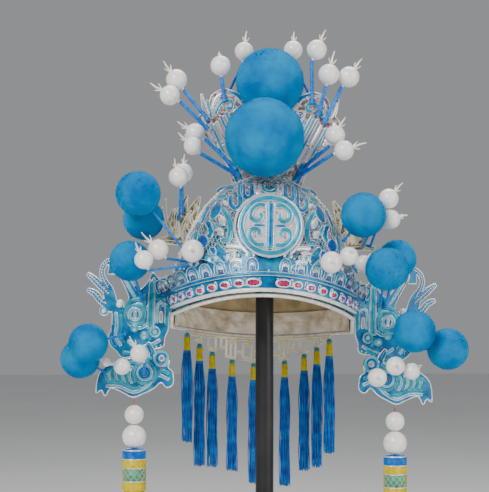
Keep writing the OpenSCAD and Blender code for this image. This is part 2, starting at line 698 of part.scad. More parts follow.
module strand_pearls(side) color("ivory") translate(hook(side))
    for (s = STRAND) translate([0, 0, -s[0]]) rotate_extrude($fn = 64) difference() {
        circle(s[1]);
        translate([bore_r - 40, -20]) square([40, 40]);
    }

module side_tassel(side) translate(hook(side) - [0, 0, strand_l]) {
    color("gold") difference() {
        union() {
            translate([0, 0, -barrel_l]) cylinder(h = barrel_l, r = barrel_r);
            for (z = [10, 19, 31]) translate([0, 0, -z - 1]) cylinder(h = 2, r = barrel_r + 0.6);
        }
        translate([0, 0, -8]) cylinder(h = 9, r = bore_r, $fn = 24);
    }
    color("deepskyblue") translate([0, 0, 0.5 - barrel_l]) silk(14, barrel_r - 3, 2.7, skirt_l);
}

stand_foot();
stand_post();
stand_pad();
cap_shell();
cap_lining();
rim_piping();
cap_tracery();
roundel();
front_band();
band_stones();
crest_plate();
rear_fret();
for (s = SIDES) {
    wing(s[1]);
    collar(s);
    finial(s[1]);
    strand_thread(s);
    strand_pearls(s);
    side_tassel(s);
}
for (p = POMPOMS) pompom(p);
for (r = REGIONS) {
    pearls(r);
    stems(r);
}
for (i = [1:len(TASSELS)])
    rear_tassel(TASSELS[i - 1]);
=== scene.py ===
# Opera headdress on a plain stand: the looks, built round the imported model.
# Sizes are in millimetres in the headdress's own frame; placed() carries them to the stand, in metres.
import bpy
import bmesh
import math
import numpy as np
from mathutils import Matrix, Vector


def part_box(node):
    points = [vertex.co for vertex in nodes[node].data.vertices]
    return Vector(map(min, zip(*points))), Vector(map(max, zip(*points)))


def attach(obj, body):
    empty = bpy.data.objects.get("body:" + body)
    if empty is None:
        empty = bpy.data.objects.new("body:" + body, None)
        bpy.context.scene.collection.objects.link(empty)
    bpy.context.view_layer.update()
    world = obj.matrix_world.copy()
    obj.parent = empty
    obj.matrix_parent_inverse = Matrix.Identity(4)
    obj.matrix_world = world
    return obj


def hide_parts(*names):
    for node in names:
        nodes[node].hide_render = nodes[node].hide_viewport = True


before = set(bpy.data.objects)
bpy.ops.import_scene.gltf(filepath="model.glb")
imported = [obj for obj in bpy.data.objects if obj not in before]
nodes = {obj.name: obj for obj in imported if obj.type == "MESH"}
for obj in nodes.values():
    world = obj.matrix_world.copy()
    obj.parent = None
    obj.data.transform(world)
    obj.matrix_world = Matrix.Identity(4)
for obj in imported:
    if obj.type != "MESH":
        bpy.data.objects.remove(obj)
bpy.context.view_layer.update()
print("frame loaded:", len(nodes), "nodes")

# The headdress's own sizes, the same as the model's
head = {"rim": 380.0, "lean": math.radians(1.8), "seat": -2.5, "capR": 91.0, "wall": 30.0, "crown": 125.0,
        "archH": 38.5, "archR": 200.0, "napeDrop": 9.5, "sideZ": 4.0, "sweep": math.radians(13),
        "plate": 1.8, "relief": 0.6, "gap": 0.3, "crestY": -8.0, "finialY": -15.0,
        "roundelZ": 101.0, "roundelTilt": math.radians(14), "roundelOut": 10.5, "bandTop": 40.5,
        "bandLift": 2.3, "shell": 2.0, "collarShift": 6.0}
head["archZ"] = head["archH"] - head["archR"]
head["napeR"] = (head["capR"] ** 2 + head["napeDrop"] ** 2) / (2 * head["napeDrop"])
head["napeZ"] = head["napeR"] - head["napeDrop"] + head["sideZ"]
crestFace, finialFace = head["crestY"] - head["plate"], head["finialY"] - head["plate"]
sides = {"left": -1, "right": 1}


def placed(points):  # from the headdress's frame to the stand's, in metres
    p = np.asarray(points, float)
    c, s = math.cos(head["lean"]), math.sin(head["lean"])
    x = head["seat"] + p[..., 0] * c + p[..., 2] * s
    z = head["rim"] - p[..., 0] * s + p[..., 2] * c
    return np.stack([x, p[..., 1], z], -1) / 1000


def lifted(points):  # and back again
    p = np.asarray(points, float) * 1000
    c, s = math.cos(head["lean"]), math.sin(head["lean"])
    x, z = p[..., 0] - head["seat"], p[..., 2] - head["rim"]
    return np.stack([x * c - z * s, p[..., 1], x * s + z * c], -1)


def unit(v):
    return v / np.maximum(np.linalg.norm(v, axis=-1, keepdims=True), 1e-9)


# Shapes: each returns corner points and faces


def flow(points, step=1.2, closed=False):  # a smooth line through a few points, evenly stepped
    p = np.asarray(points, float)
    n = len(p)
    out = []
    for i in range(n if closed else n - 1):
        if closed:
            a, b, c, d = p[i - 1], p[i], p[(i + 1) % n], p[(i + 2) % n]
        else:
            a, b, c, d = p[max(i - 1, 0)], p[i], p[i + 1], p[min(i + 2, n - 1)]
        count = max(2, int(np.linalg.norm((c - b)[:3]) / step))
        t = np.arange(count)[:, None] / count
        out.append(0.5 * (2 * b + (c - a) * t + (2 * a - 5 * b + 4 * c - d) * t ** 2
                          + (3 * b - a - 3 * c + d) * t ** 3))
    if not closed:
        out.append(p[-1:])
    return np.concatenate(out)


def ring(x, z, r, n):
    a = np.arange(n) * 2 * math.pi / n
    return np.stack([x + r * np.cos(a), z + r * np.sin(a)], -1)


def grid(rows, across, closed=False, wrap=False, turned=False):  # faces between rows of corners
    i = np.arange(rows if closed else rows - 1)[:, None]
    k = np.arange(across if wrap else across - 1)[None, :]
    j, l = (i + 1) % rows, (k + 1) % across
    faces = np.stack([i * across + k, i * across + l, j * across + l, j * across + k], -1).reshape(-1, 4)
    return [tuple(f) for f in (faces[:, ::-1] if turned else faces).tolist()]


def tube(path, radius, around=6, closed=False):
    path = np.asarray(path, float)
    n = len(path)
    along = np.roll(path, -1, 0) - np.roll(path, 1, 0)
    if not closed:
        along[0], along[-1] = path[1] - path[0], path[-1] - path[-2]
    along = unit(along)
    up = np.zeros_like(path)
    first = np.array([0, 0, 1.0]) if abs(along[0][2]) < 0.9 else np.array([1.0, 0, 0])
    up[0] = unit(np.cross(along[0], first))
    for i in range(1, n):
        up[i] = unit(up[i - 1] - along[i] * up[i - 1].dot(along[i]))
    side = np.cross(along, up)
    turn = np.zeros(n)
    if closed:  # the last ring meets the first without a twist
        back = unit(up[-1] - along[0] * up[-1].dot(along[0]))
        turn = -math.atan2(back.dot(side[0]), back.dot(up[0])) * np.arange(n) / n
    a = np.arange(around) * 2 * math.pi / around + turn[:, None]
    r = np.broadcast_to(radius if np.ndim(radius) == 2 else np.reshape(radius, (-1, 1)), (n, around))
    corners = path[:, None] + r[..., None] * (np.cos(a)[..., None] * up[:, None]
                                              + np.sin(a)[..., None] * side[:, None])
    faces = grid(n, around, closed, True)
    if not closed:
        faces.append(tuple(range(around - 1, -1, -1)))
        faces.append(tuple(range((n - 1) * around, n * around)))
    return corners.reshape(-1, 3), faces


def bead(middle, r, around=10, rings=6):
    lat = np.linspace(-math.pi / 2, math.pi / 2, rings + 1)
    lon = np.arange(around) * 2 * math.pi / around
    y, x = np.meshgrid(lat, lon, indexing="ij")
    p = np.stack([np.cos(y) * np.cos(x), np.cos(y) * np.sin(x), np.sin(y)], -1) * r
    return p.reshape(-1, 3) + np.asarray(middle, float), grid(rings + 1, around, False, True)


def sideways(q, closed=False):  # unit steps square to a flat path
    d = np.roll(q, -1, 0) - np.roll(q, 1, 0)
    if not closed:
        d[0], d[-1] = q[1] - q[0], q[-1] - q[-2]
    return unit(np.stack([-d[:, 1], d[:, 0]], -1))


# Inlay strips: a low crowned strip between two wires, laid on a surface
inlay = {"rise": 0.9, "shoulder": 0.8, "foot": -0.15, "bevel": 0.22, "wider": 1.3, "step": 1.3,
         "wire": 0.31, "wireSides": 5, "wireAt": 0.75, "endWidth": 0.06}


def strip(q, width, place, closed=False):  # a third column of q is the width
    q = flow(q, inlay["step"], closed)
    n = len(q)
    w = (q[:, 2] / 2 if q.shape[1] > 2 else np.full(n, width / 2.0)) * inlay["wider"]
    q = q[:, :2]
    if not closed:  # rounded ends
        t = np.minimum(np.arange(n), np.arange(n)[::-1]) / 2.0
        w *= np.sqrt(np.clip(1 - (1 - np.minimum(t, 1)) ** 2, inlay["endWidth"], 1))
    out = sideways(q, closed)

    def line(across, high):
        return place(q + out * (w * across)[:, None], inlay["rise"] * high)
    shoulder = 1 - inlay["bevel"]
    rows = [line(-1, inlay["foot"]), line(-shoulder, inlay["shoulder"]), line(0, 1),
            line(shoulder, inlay["shoulder"]), line(1, inlay["foot"])]
    edges = [line(1, inlay["wireAt"]), line(-1, inlay["wireAt"])]
    if not closed:  # one wire that runs round both ends
        edges = [np.concatenate([edges[0], edges[1][::-1]])]
    body = (np.stack(rows, 1).reshape(-1, 3), grid(n, len(rows), closed, turned=True))
    return body, [tube(edge, inlay["wire"], inlay["wireSides"], True) for edge in edges]


crossWires = {"r": 0.3, "step": 2.5, "slant": 1.1, "reach": 0.42, "lift": 0.35}


def ladder(path, place):  # cross wires along a strap; path holds x, z and width
    q = flow(path, crossWires["step"])
    out = sideways(q[:, :2])
    shapes = []
    for point, side in zip(q[1:-1], out[1:-1]):
        reach = side * point[2] * crossWires["reach"]
        lean = np.array([side[1], -side[0]]) * crossWires["slant"]
        ends = np.stack([point[:2] - reach - lean, point[:2], point[:2] + reach - lean])
        shapes.append(tube(place(ends, crossWires["lift"]), crossWires["r"], 4))
    return shapes


def mirrored(q):
    q = np.array(q, float)
    q[:, 0] *= -1
    return q


# Surfaces that ornament is laid on: each takes flat points and a height above the surface


def capRadius(z):
    t = np.clip((z - head["wall"]) / head["crown"], 0, 1)
    return head["capR"] * np.sqrt(np.maximum(0, 1 - t * t))


def onDome(q, lift):
    x, z = q[..., 0], q[..., 1]
    r = capRadius(z)
    y = -np.sqrt(np.maximum(r * r - x * x, 4))
    slope = np.maximum(z - head["wall"], 0) / head["crown"] ** 2 * head["capR"] ** 2
    normal = unit(np.stack([x, y, slope], -1))
    return np.stack([x, y, z], -1) + normal * lift


def onFront(q, lift):  # on the dome, or on the front band where that covers it
    rho = np.hypot(q[..., 0], q[..., 1] - head["archZ"]) - head["archR"]
    p = onDome(q, lift)
    step = onDome(q, lift + head["bandLift"]) - p
    return p + step * np.clip((head["bandTop"] - rho) / 2, 0, 1)[..., None]


def onTurned(turn):  # the same marks on another side of the dome
    c, s = math.cos(math.radians(turn)), math.sin(math.radians(turn))

    def place(q, lift):
        p = onDome(q, lift)
        return np.stack([p[..., 0] * c - p[..., 1] * s, p[..., 0] * s + p[..., 1] * c, p[..., 2]], -1)
    return place


def onBandAt(a):  # millimetres along the band from an angle, and the distance from the rim's arch
    def place(q, lift):
        turned = a + np.degrees(q[..., 0] / (head["archR"] + q[..., 1]))
        return onBand(np.stack([turned, q[..., 1]], -1), lift + head["bandLift"])
    return place


def onBand(q, lift):  # angle in degrees and distance from the rim's arch
    a, rho = np.radians(q[..., 0]), head["archR"] + q[..., 1]
    return onDome(np.stack([rho * np.sin(a), head["archZ"] + rho * np.cos(a)], -1), lift)


def onSidePlate(sign, shift, front):
    def place(q, lift):
        out, y = q[..., 0] + shift - head["capR"], -front - lift
        c, s = math.cos(head["sweep"]), math.sin(head["sweep"])
        x = sign * (head["capR"] + head["gap"] + out * c - y * s)
        return np.stack([x, out * s + y * c, q[..., 1]], -1)
    return place


def onUpright(y):
    def place(q, lift):
        return np.stack([q[..., 0], np.full(q.shape[:-1], y) - lift, q[..., 1]], -1)
    return place


def onRoundel(q, lift):
    c, s = math.cos(head["roundelTilt"]), math.sin(head["roundelTilt"])
    y, z = -head["plate"] - lift, q[..., 1]
    base = -capRadius(head["roundelZ"]) - head["roundelOut"]
    return np.stack([q[..., 0], base + y * c + z * s, head["roundelZ"] - y * s + z * c], -1)


# Materials. Each look is a ramp of colours over soft noise, roughness from and to, metal, the noise's scale,
# and a fine bump (strength, scale, depth)
looks = {
    "silver": ({0.3: (0.8, 0.82, 0.84),
                0.7: (0.99, 0.99, 0.98)}, (0.16, 0.34), 0.6, 90, (0.25, 900, 0.0003)),
    # Silver ground mottled with dark teal-black: painted shade for the gaps between the filigree, over a
    # random silver tone
    "silverWithPaintedShade": ({0.4: (0, 0.035, 0.08), 0.52: (0, 0.12, 0.2), 0.62: (0.03, 0.28, 0.34),
                   0.76: (0.6, 0.64, 0.64)}, (0.24, 0.5), 0.5, 260, (0.5, 700, 0.0005)),
    "roseSilver": ({0.3: (0.62, 0.5, 0.46),
                    0.7: (0.97, 0.89, 0.85)}, (0.18, 0.38), 0.9, 110, (0.3, 800, 0.0003)),
    "oldRose": ({0.36: (0.14, 0.11, 0.11), 0.5: (0.42, 0.33, 0.3),
                 0.64: (0.85, 0.74, 0.7)}, (0.24, 0.45), 0.6, 330, (0.4, 700, 0.0004)),
    "oldGold": ({0.36: (0.07, 0.06, 0.05), 0.5: (0.4, 0.33, 0.2),
                 0.64: (0.9, 0.84, 0.62)}, (0.24, 0.45), 0.4, 230, (0.4, 700, 0.0004)),
    "paleGold": ({0.3: (0.82, 0.7, 0.42),
                  0.7: (1, 0.95, 0.76)}, (0.2, 0.42), 0.15, 120, (0.35, 700, 0.0003)),
    "cream": ({0.3: (0.6, 0.47, 0.3), 0.6: (1, 0.9, 0.72)}, (0.3, 0.6), 0.1, 70, (0.6, 260, 0.0008)),
    # Darker than the cream lining: the lining card's colour darkened with painted shade for the inside of the
    # cap
    "tan": ({0.3: (0.36, 0.26, 0.12), 0.7: (0.66, 0.52, 0.28)}, (0.5, 0.75), 0.05, 60, (0.5, 400, 0.0006)),
    "enamel": ({0.25: (0, 0.07, 0.24), 0.48: (0, 0.18, 0.4), 0.68: (0, 0.3, 0.5),
                0.85: (0, 0.42, 0.6)}, (0.2, 0.4), 0.3, 95, (0.3, 800, 0.0003)),
    "ice": ({0.3: (0, 0.36, 0.48), 0.7: (0.25, 0.62, 0.68)}, (0.2, 0.36), 0.3, 95, (0.3, 800, 0.0003)),
    "azure": ({0.3: (0, 0.07, 0.32), 0.7: (0, 0.16, 0.52)}, (0.2, 0.36), 0.3, 95, (0.3, 800, 0.0003)),
    "turquoise": ({0.3: (0, 0.22, 0.37), 0.7: (0, 0.42, 0.58)}, (0.2, 0.36), 0.3, 95, (0.3, 800, 0.0003)),
    "velvet": ({0.3: (0, 0.14, 0.4), 0.52: (0, 0.22, 0.5),
                0.76: (0, 0.3, 0.58)}, (0.8, 0.97), 0, 40, (0.7, 1500, 0.0008)),
    "pearl": ({0.35: (0.93, 0.87, 0.8), 0.65: (1, 0.97, 0.93)}, (0.2, 0.32), 0, 40, (0.05, 300, 0.0002)),
    "ivory": ({0.3: (0.7, 0.64, 0.54),
               0.7: (0.97, 0.94, 0.88)}, (0.25, 0.45), 0.25, 160, (0.2, 900, 0.0003)),
    "paleSilk": ({0.3: (0.02, 0.3, 0.75),
                  0.7: (0.06, 0.5, 0.95)}, (0.35, 0.5), 0.1, 200, (0.4, 1800, 0.0003)),
    "woundSilk": ({0.3: (0, 0.12, 0.55),
                   0.7: (0.01, 0.28, 0.85)}, (0.4, 0.6), 0.1, 200, (0.5, 1800, 0.0004)),
    "silk": ({0.3: (0, 0.07, 0.36), 0.55: (0, 0.17, 0.6),
              0.78: (0, 0.38, 0.86)}, (0.32, 0.5), 0.05, 120, (0.4, 1600, 0.0003)),
    "yellowSilk": ({0.3: (0.6, 0.42, 0), 0.7: (0.84, 0.7, 0.03)}, (0.4, 0.6), 0, 220, (0.5, 1800, 0.0003)),
    "tealSilk": ({0.3: (0, 0.17, 0.22), 0.7: (0, 0.4, 0.4)}, (0.4, 0.6), 0, 200, (0.5, 1800, 0.0003)),
    "copper": ({0.3: (0.3, 0.09, 0.04), 0.7: (0.66, 0.25, 0.1)}, (0.4, 0.6), 0.2, 260, (0.6, 2500, 0.0003)),
    "ruby": ({0.3: (0.3, 0, 0.06), 0.7: (0.72, 0.01, 0.16)}, (0.04, 0.12), 0, 150, (0.05, 300, 0.0001)),
    "amethyst": ({0.3: (0.12, 0, 0.3), 0.7: (0.42, 0.02, 0.5)}, (0.04, 0.12), 0, 150, (0.05, 300, 0.0001)),
    "black": ({0.3: (0.01, 0.01, 0.011),
               0.7: (0.028, 0.027, 0.026)}, (0.32, 0.5), 0.3, 30, (0.15, 600, 0.0003)),
    "paper": ({0.3: (0.76, 0.76, 0.755), 0.7: (0.8, 0.8, 0.795)}, (0.6, 0.75), 0, 2, (0.05, 50, 0.0005)),
}


def filled(tree, node, inputs):  # a node with its inputs set or linked
    for key, value in inputs.items():
        if isinstance(value, bpy.types.NodeSocket):
            tree.links.new(value, node.inputs[key])
        else:
            node.inputs[key].default_value = value
    return node


def added(tree, kind, inputs, **settings):
    node = tree.nodes.new("ShaderNode" + kind)
    for key, value in settings.items():
        setattr(node, key, value)
    return filled(tree, node, inputs)


def above(point, direction):  # 1 past a plane that is given in the headdress's frame
    at = placed(point)
    way = unit(placed(np.add(point, direction)) - at)

    def mask(tree):
        here = added(tree, "NewGeometry", {}).outputs["Position"]
        dot = added(tree, "VectorMath", {0: here, 1: way}, operation="DOT_PRODUCT").outputs["Value"]
        return added(tree, "Math", {0: dot, 1: float(at @ way)}, operation="GREATER_THAN").outputs["Value"]
    return mask


def facing(point):  # 1 where the surface faces a point inside the headdress
    def mask(tree):
        here = added(tree, "NewGeometry", {}).outputs
        away = added(tree, "VectorMath", {0: here["Position"], 1: placed(point)}, operation="SUBTRACT")
        between = {0: away.outputs["Vector"], 1: here["Normal"]}
        dot = added(tree, "VectorMath", between, operation="DOT_PRODUCT").outputs["Value"]
        return added(tree, "Math", {0: dot, 1: 0.0}, operation="LESS_THAN").outputs["Value"]
    return mask


def shader(name, look, second=None, mask=None, **sockets):  # second: the look where the mask is 1
    m = bpy.data.materials.new(name)
    m.use_nodes = True
    tree = m.node_tree
    bsdf = tree.nodes["Principled BSDF"]
    coords = added(tree, "TexCoord", {}).outputs["Object"]

    def cloud(scale, detail):
        return added(tree, "TexNoise", {"Vector": coords, "Scale": scale, "Detail": detail}).outputs["Fac"]

    def span(value, low, high):
        return added(tree, "MapRange", {"Value": value, "To Min": low, "To Max": high}).outputs["Result"]

    def layer(ramp, rough, scale):
        noise = cloud(scale, 4)
        colour = added(tree, "ValToRGB", {"Fac": noise})
        marks = colour.color_ramp.elements
        while len(marks) < len(ramp):
            marks.new(0.5)
        for mark, (at, rgb) in zip(marks, ramp.items()):
            mark.position = at
            mark.color = (*rgb, 1)
        return colour.outputs["Color"], span(noise, *rough)

    ramp, rough, metal, scale, bump = looks[look]
    wanted = {"Metallic": metal}
    wanted["Base Color"], wanted["Roughness"] = layer(ramp, rough, scale)
    if second:
        where = mask(tree)
        ramp, rough, metal2, scale, _ = looks[second]
        colour2, rough2 = layer(ramp, rough, scale)
        for socket, other, kind, first, out in (("Base Color", colour2, "RGBA", 6, 2),
                                                ("Roughness", rough2, "FLOAT", 2, 0)):
            inputs = {0: where, first: wanted[socket], first + 1: other}
            wanted[socket] = added(tree, "Mix", inputs, data_type=kind).outputs[out]
        wanted["Metallic"] = span(where, metal, metal2)
    strength, scale, depth = bump
    raised = added(tree, "Bump", {"Strength": strength, "Distance": depth, "Height": cloud(scale, 2)})
    wanted["Normal"] = raised.outputs["Normal"]
    filled(tree, bsdf, wanted)
    filled(tree, bsdf, {key.replace("_", " "): value for key, value in sockets.items()})
    return m


silver = shader("brightSilver", "silver")
ice = shader("iceEnamel", "ice")
roseSilver = shader("roseSilver", "roseSilver")
paleGold = shader("paleGold", "paleGold")
oldGold = shader("oldGold", "oldGold")
cream = shader("creamLining", "cream")
glaze = {"Coat_Weight": 0.15, "Coat_Roughness": 0.2, "Specular_IOR_Level": 0.3}
enamel = shader("blueEnamel", "enamel", **glaze)
azure = shader("azureEnamel", "azure", **glaze)
turquoise = shader("turquoiseEnamel", "turquoise", **glaze)
velvet = shader("pompomPile", "velvet", Specular_IOR_Level=0.08, Sheen_Weight=0.35, Sheen_Roughness=0.3,
                Sheen_Tint=(0.0, 0.72, 1.0, 1))
pearly = shader("pearl", "pearl", Coat_Weight=0.6, Coat_Roughness=0.08, Subsurface_Weight=0.15,
                Subsurface_Scale=0.004)
ivory = shader("ivorySpike", "ivory")
woundSilk = shader("woundSilk", "woundSilk", Specular_IOR_Level=0.3, Sheen_Weight=0.3, Sheen_Roughness=0.4,
                   Sheen_Tint=(0.1, 0.5, 1.0, 1))
paleSilk = shader("paleSilkThread", "paleSilk")
silk = shader("tasselSilk", "silk", Specular_IOR_Level=0.35, Sheen_Weight=0.35, Sheen_Roughness=0.3,
              Sheen_Tint=(0.1, 0.6, 1.0, 1), Anisotropic=0.5)
yellowSilk = shader("yellowSilk", "yellowSilk", Specular_IOR_Level=0.2)
tealSilk = shader("tealSilk", "tealSilk", Sheen_Weight=0.3)
copperSilk = shader("copperThread", "copper")
cutStone = {"Coat_Weight": 1.0, "Coat_Roughness": 0.03}
ruby = shader("rubyStone", "ruby", **cutStone)
standBlack = shader("standBlack", "black")
# Where the shell faces this point, inside the cap, it is the darker tan: painted shade over the lining card's
# colour
insideCap = [0, 0, 40]
# Outside, the shell's silver ground carries painted shade in the gaps between the filigree
capShell = shader("capShell", "silverWithPaintedShade", "tan", facing(insideCap))
print("materials made")


# Pieces


def standing(name, data):  # an object in the scene
    obj = bpy.data.objects.new(name, data)
    bpy.context.scene.collection.objects.link(obj)
    return obj


def scaled(points):  # from millimetres in the stand's own frame, to metres
    return np.asarray(points) / 1000


def piece(name, parts, replaced=(), carry=placed):  # parts: lists of (shape, material)
    materials, corners, faces, which = [], [], [], []
    count = 0
    for (v, f), m in parts:
        if m not in materials:
            materials.append(m)
        corners.append(carry(v))
        faces.extend([tuple(i + count for i in face) for face in f])
        which.extend([materials.index(m)] * len(f))
        count += len(v)
    mesh = bpy.data.meshes.new(name)
    mesh.from_pydata(np.concatenate(corners).tolist(), [], faces)
    for m in materials:
        mesh.materials.append(m)
    mesh.polygons.foreach_set("material_index", which)
    mesh.polygons.foreach_set("use_smooth", [True] * len(faces))
    mesh.validate()
    mesh.update()
    obj = standing(name, mesh)
    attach(obj, "root")
    if replaced:
        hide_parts(*replaced)
    return obj


def dressed(part, m):  # puts a material on a node of the model
    obj = nodes[part]
    obj.data.materials.clear()
    obj.data.materials.append(m)


def welded(part):  # a node's corners without doubles, and which of them each corner of the mesh is
    mesh = nodes[part].data
    co = np.zeros(len(mesh.vertices) * 3)
    mesh.vertices.foreach_get("co", co)
    keys, same = np.unique(np.round(co.reshape(-1, 3), 6), axis=0, return_inverse=True)
    return lifted(keys), same.reshape(-1)


def looseParts(part):  # the corners of each separate solid of a node, in the headdress's frame
    points, same = welded(part)
    owner = np.arange(len(points))

    def root(i):
        while owner[i] != i:
            owner[i] = owner[owner[i]]
            i = owner[i]
        return i
    for e in nodes[part].data.edges:
        a, b = root(same[e.vertices[0]]), root(same[e.vertices[1]])
        if a != b:
            owner[b] = a
    roots = np.array([root(i) for i in range(len(points))])
    return [points[roots == r] for r in np.unique(roots)]


sharp = {"angle": math.radians(50), "step": 0.9}


def sharpLines(part, keep):  # chains of the node's sharp edges that keep() accepts
    points, same = welded(part)
    beside = {}
    for poly in nodes[part].data.polygons:
        v = [same[i] for i in poly.vertices]
        for a, b in zip(v, v[1:] + v[:1]):
            if a != b:
                beside.setdefault((min(a, b), max(a, b)), []).append(poly.normal.copy())
    links = {}
    for (a, b), normals in beside.items():
        if len(normals) == 2 and normals[0].dot(normals[1]) < math.cos(sharp["angle"]):
            if keep(points[a]) and keep(points[b]):
                links.setdefault(a, []).append(b)
                links.setdefault(b, []).append(a)
    chains, used = [], set()
    for start in sorted(links, key=lambda k: (len(links[k]) == 2, k)):
        for second in links[start]:
            if (start, second) in used:
                continue
            chain, here, there = [start], start, second
            while (here, there) not in used:
                used.update([(here, there), (there, here)])
                chain.append(there)
                onward = [k for k in links[there] if (there, k) not in used]
                if len(links[there]) != 2 or not onward:
                    break
                here, there = there, onward[0]
            closed = chain[0] == chain[-1]
            line = points[chain[:-1] if closed else chain]
            if len(line) > 2:
                chains.append((line, closed))
    return chains


def thinned(line, closed):  # drops points that lie closer than a step
    keep = [0]
    for i in range(1, len(line)):
        if np.linalg.norm(line[i] - line[keep[-1]]) >= sharp["step"]:
            keep.append(i)
    if not closed and keep[-1] != len(line) - 1:
        keep.append(len(line) - 1)
    return line[keep]


def trimmed(name, part, keep, r, m):  # wire along a plate's sharp edges
    parts = []
    for line, closed in sharpLines(part, keep):
        line = thinned(line, closed)
        if len(line) > 3:
            parts.append((tube(line, r, 6, closed), m))
    piece(name, parts)


# Stand
for part in ("stand_foot", "stand_post", "stand_pad"):
    dressed(part, standBlack)

# Plates of the model: fields of one look and raised lines of another


def raisedAt(place, lift):  # a mask that starts at a height above a surface
    foot = place(np.zeros(2), lift)
    return above(foot, place(np.zeros(2), lift + 1) - foot)


depths = {"wing": head["plate"], "collar": 2 * head["plate"] + head["relief"] + head["gap"]}
shifts = {"wing": 0.0, "collar": head["collarShift"]}
platePlaces = {}
for side, sign in sides.items():
    for kind, depth in depths.items():
        part, place = kind + "_" + side, onSidePlate(sign, sign * shifts[kind], depth)
        platePlaces[part] = place
        dressed(part, shader(part + "Plate", "enamel", "ice", raisedAt(place, 0.3)))
dressed("roundel", shader("roundelPlate", "silver", "enamel", raisedAt(onRoundel, 0.6)))
crestPlace = onUpright(crestFace)
dressed("crest_plate", shader("crestPlate", "oldRose", "silver", raisedAt(crestPlace, 0.3)))
dressed("cap_shell", capShell)
dressed("front_band", enamel)
dressed("rear_fret", paleGold)
for side in sides:
    dressed("finial_" + side, oldGold)
    dressed("strand_thread_" + side, copperSilk)
    dressed("strand_pearls_" + side, pearly)
for part in nodes:
    if part.startswith("pearls_"):
        dressed(part, pearly)


def inlaid(q, width, place, colour, edge=silver, closed=False):  # one strip and its wires
    body, wires = strip(q, width, place, closed)
    return [(body, colour)] + [(w, edge) for w in wires]


def laid(strips, place, mirror=False, wide=1.0, edge=silver):  # inlay strips: colour, width, points
    parts = []
    for colour, width, q in strips:
        q = np.asarray(q, float) * ([1, 1, wide][:len(q[0])])
        for half in (q, mirrored(q)) if mirror else (q,):
            parts += inlaid(half, width * wide, place, colour, edge)
    return parts


def hooped(x, z, r, width, place, colour, edge=silver):  # a closed ring of inlay
    return inlaid(ring(x, z, r, max(16, int(r * 1.6))), width, place, colour, edge, True)


def grains(points, place, r, colour, lift=0.5):
    return [(bead(place(np.asarray(q, float), lift), r, 8, 5), colour) for q in points]


# Piping: three pale strands twisted along the rim
piping = {"r": 2.1, "strandR": 1.15, "offset": 0.95, "pitch": 9.0, "strands": 3, "perTurn": 9, "ends": 88,
          "points": 120}


def rimLine():
    off, at = piping["r"] + head["gap"], head["capR"] - head["shell"] / 2
    a = np.radians(np.linspace(-piping["ends"], piping["ends"], piping["points"]))
    x, y = at * np.sin(a), at * np.cos(a)
    front = np.stack([x, -y, head["archZ"] + np.sqrt((head["archR"] - off) ** 2 - x * x)], -1)
    rear = np.stack([x, y, head["napeZ"] - np.sqrt((head["napeR"] + off) ** 2 - x * x)], -1)[::-1]
    right = np.array([[at, -off, front[-1][2]], [at, -off, head["sideZ"] - off]])
    left = right[::-1] * [-1, 1, 1]
    return np.concatenate([front, right, rear, left])


def twisted(path):
    looped = np.concatenate([path, path[:1]])
    length = np.concatenate([[0], np.cumsum(np.linalg.norm(np.diff(looped, axis=0), axis=1))])
    total = length[-1]
    turns = round(total / piping["pitch"])
    n = turns * piping["perTurn"]
    s = np.arange(n) * total / n
    line = np.stack([np.interp(s, length, looped[:, k]) for k in range(3)], -1)
    along = unit(np.roll(line, -1, 0) - np.roll(line, 1, 0))
    out = unit(line * [1, 1, 0])
    out = unit(out - along * np.sum(out * along, 1)[:, None])
    up = np.cross(along, out)
    shapes = []
    for k in range(piping["strands"]):
        a = (s / total * turns + k / piping["strands"]) * 2 * math.pi
        circling = np.cos(a)[:, None] * out + np.sin(a)[:, None] * up
        shapes.append(tube(line + piping["offset"] * circling, piping["strandR"], 6, True))
    return shapes


piece("rimRope", [(s, ivory) for s in twisted(rimLine())], ["rim_piping"])
print("rim rope twisted")

# Lining: a folded cream band inside the rear wall
lining = {"thick": 1.5, "back": 0.1, "low": 0.5, "high": 22.0, "around": 150, "rows": 14, "fold": 0.55,
          "hem": 0.75, "seam": 0.35, "ends": math.radians(89), "hemPoints": 160}


def napeAt(x):  # the height of the rear rim
    return head["napeZ"] - np.sqrt(head["napeR"] ** 2 - x * x)


def liningPoints(a, h, depth):  # at an angle, a part of the height, and a depth in from the wall
    r = head["capR"] - head["shell"] - head["gap"] - depth
    x = r * np.sin(a)
    return np.stack([x, r * np.cos(a), napeAt(x) + lining["low"] + h * (lining["high"] - lining["low"])], -1)


def sheet(a, h, depth, turned=False):
    return liningPoints(a, h, depth).reshape(-1, 3), grid(*a.shape, turned=turned)


ends = np.array([-1, 1]) * lining["ends"]
a, h = np.meshgrid(np.linspace(*ends, lining["around"]), np.linspace(0, 1, lining["rows"]), indexing="ij")
folds = sum(size * np.sin(across * a + along * h + start) for size, across, along, start in
            ((1, 17, 5, 0), (0.7, 31, -4, 1), (0.6, 9, 9, 2), (0.5, 47, 11, 0)))
folds = lining["fold"] * folds * np.sin(math.pi * h) ** 0.5
parts = [(sheet(a, h, lining["thick"] + folds), cream), (sheet(a, h, lining["back"], True), cream)]
for at, depth, r in ((0.0, 0.6, lining["hem"]), (0.5, 1.0, lining["seam"]), (1.0, 0.6, lining["hem"])):
    line = liningPoints(np.linspace(*ends, lining["hemPoints"]), at, lining["thick"] * depth)
    parts.append((tube(line, r, 6), cream))
piece("liningFolds", parts, ["cap_lining"])
print("lining folded")

# Filigree: small rings of silver and pale blue all over the dome, some with a red speck
filigree = {"ringR": 1.8, "wire": 0.24, "frontStep": 4.3, "rearStep": 5.6, "speckR": 0.7, "speckEvery": 4,
            "halo": 33.5, "bandTop": 34.0, "low": 9.0, "lift": 0.25}


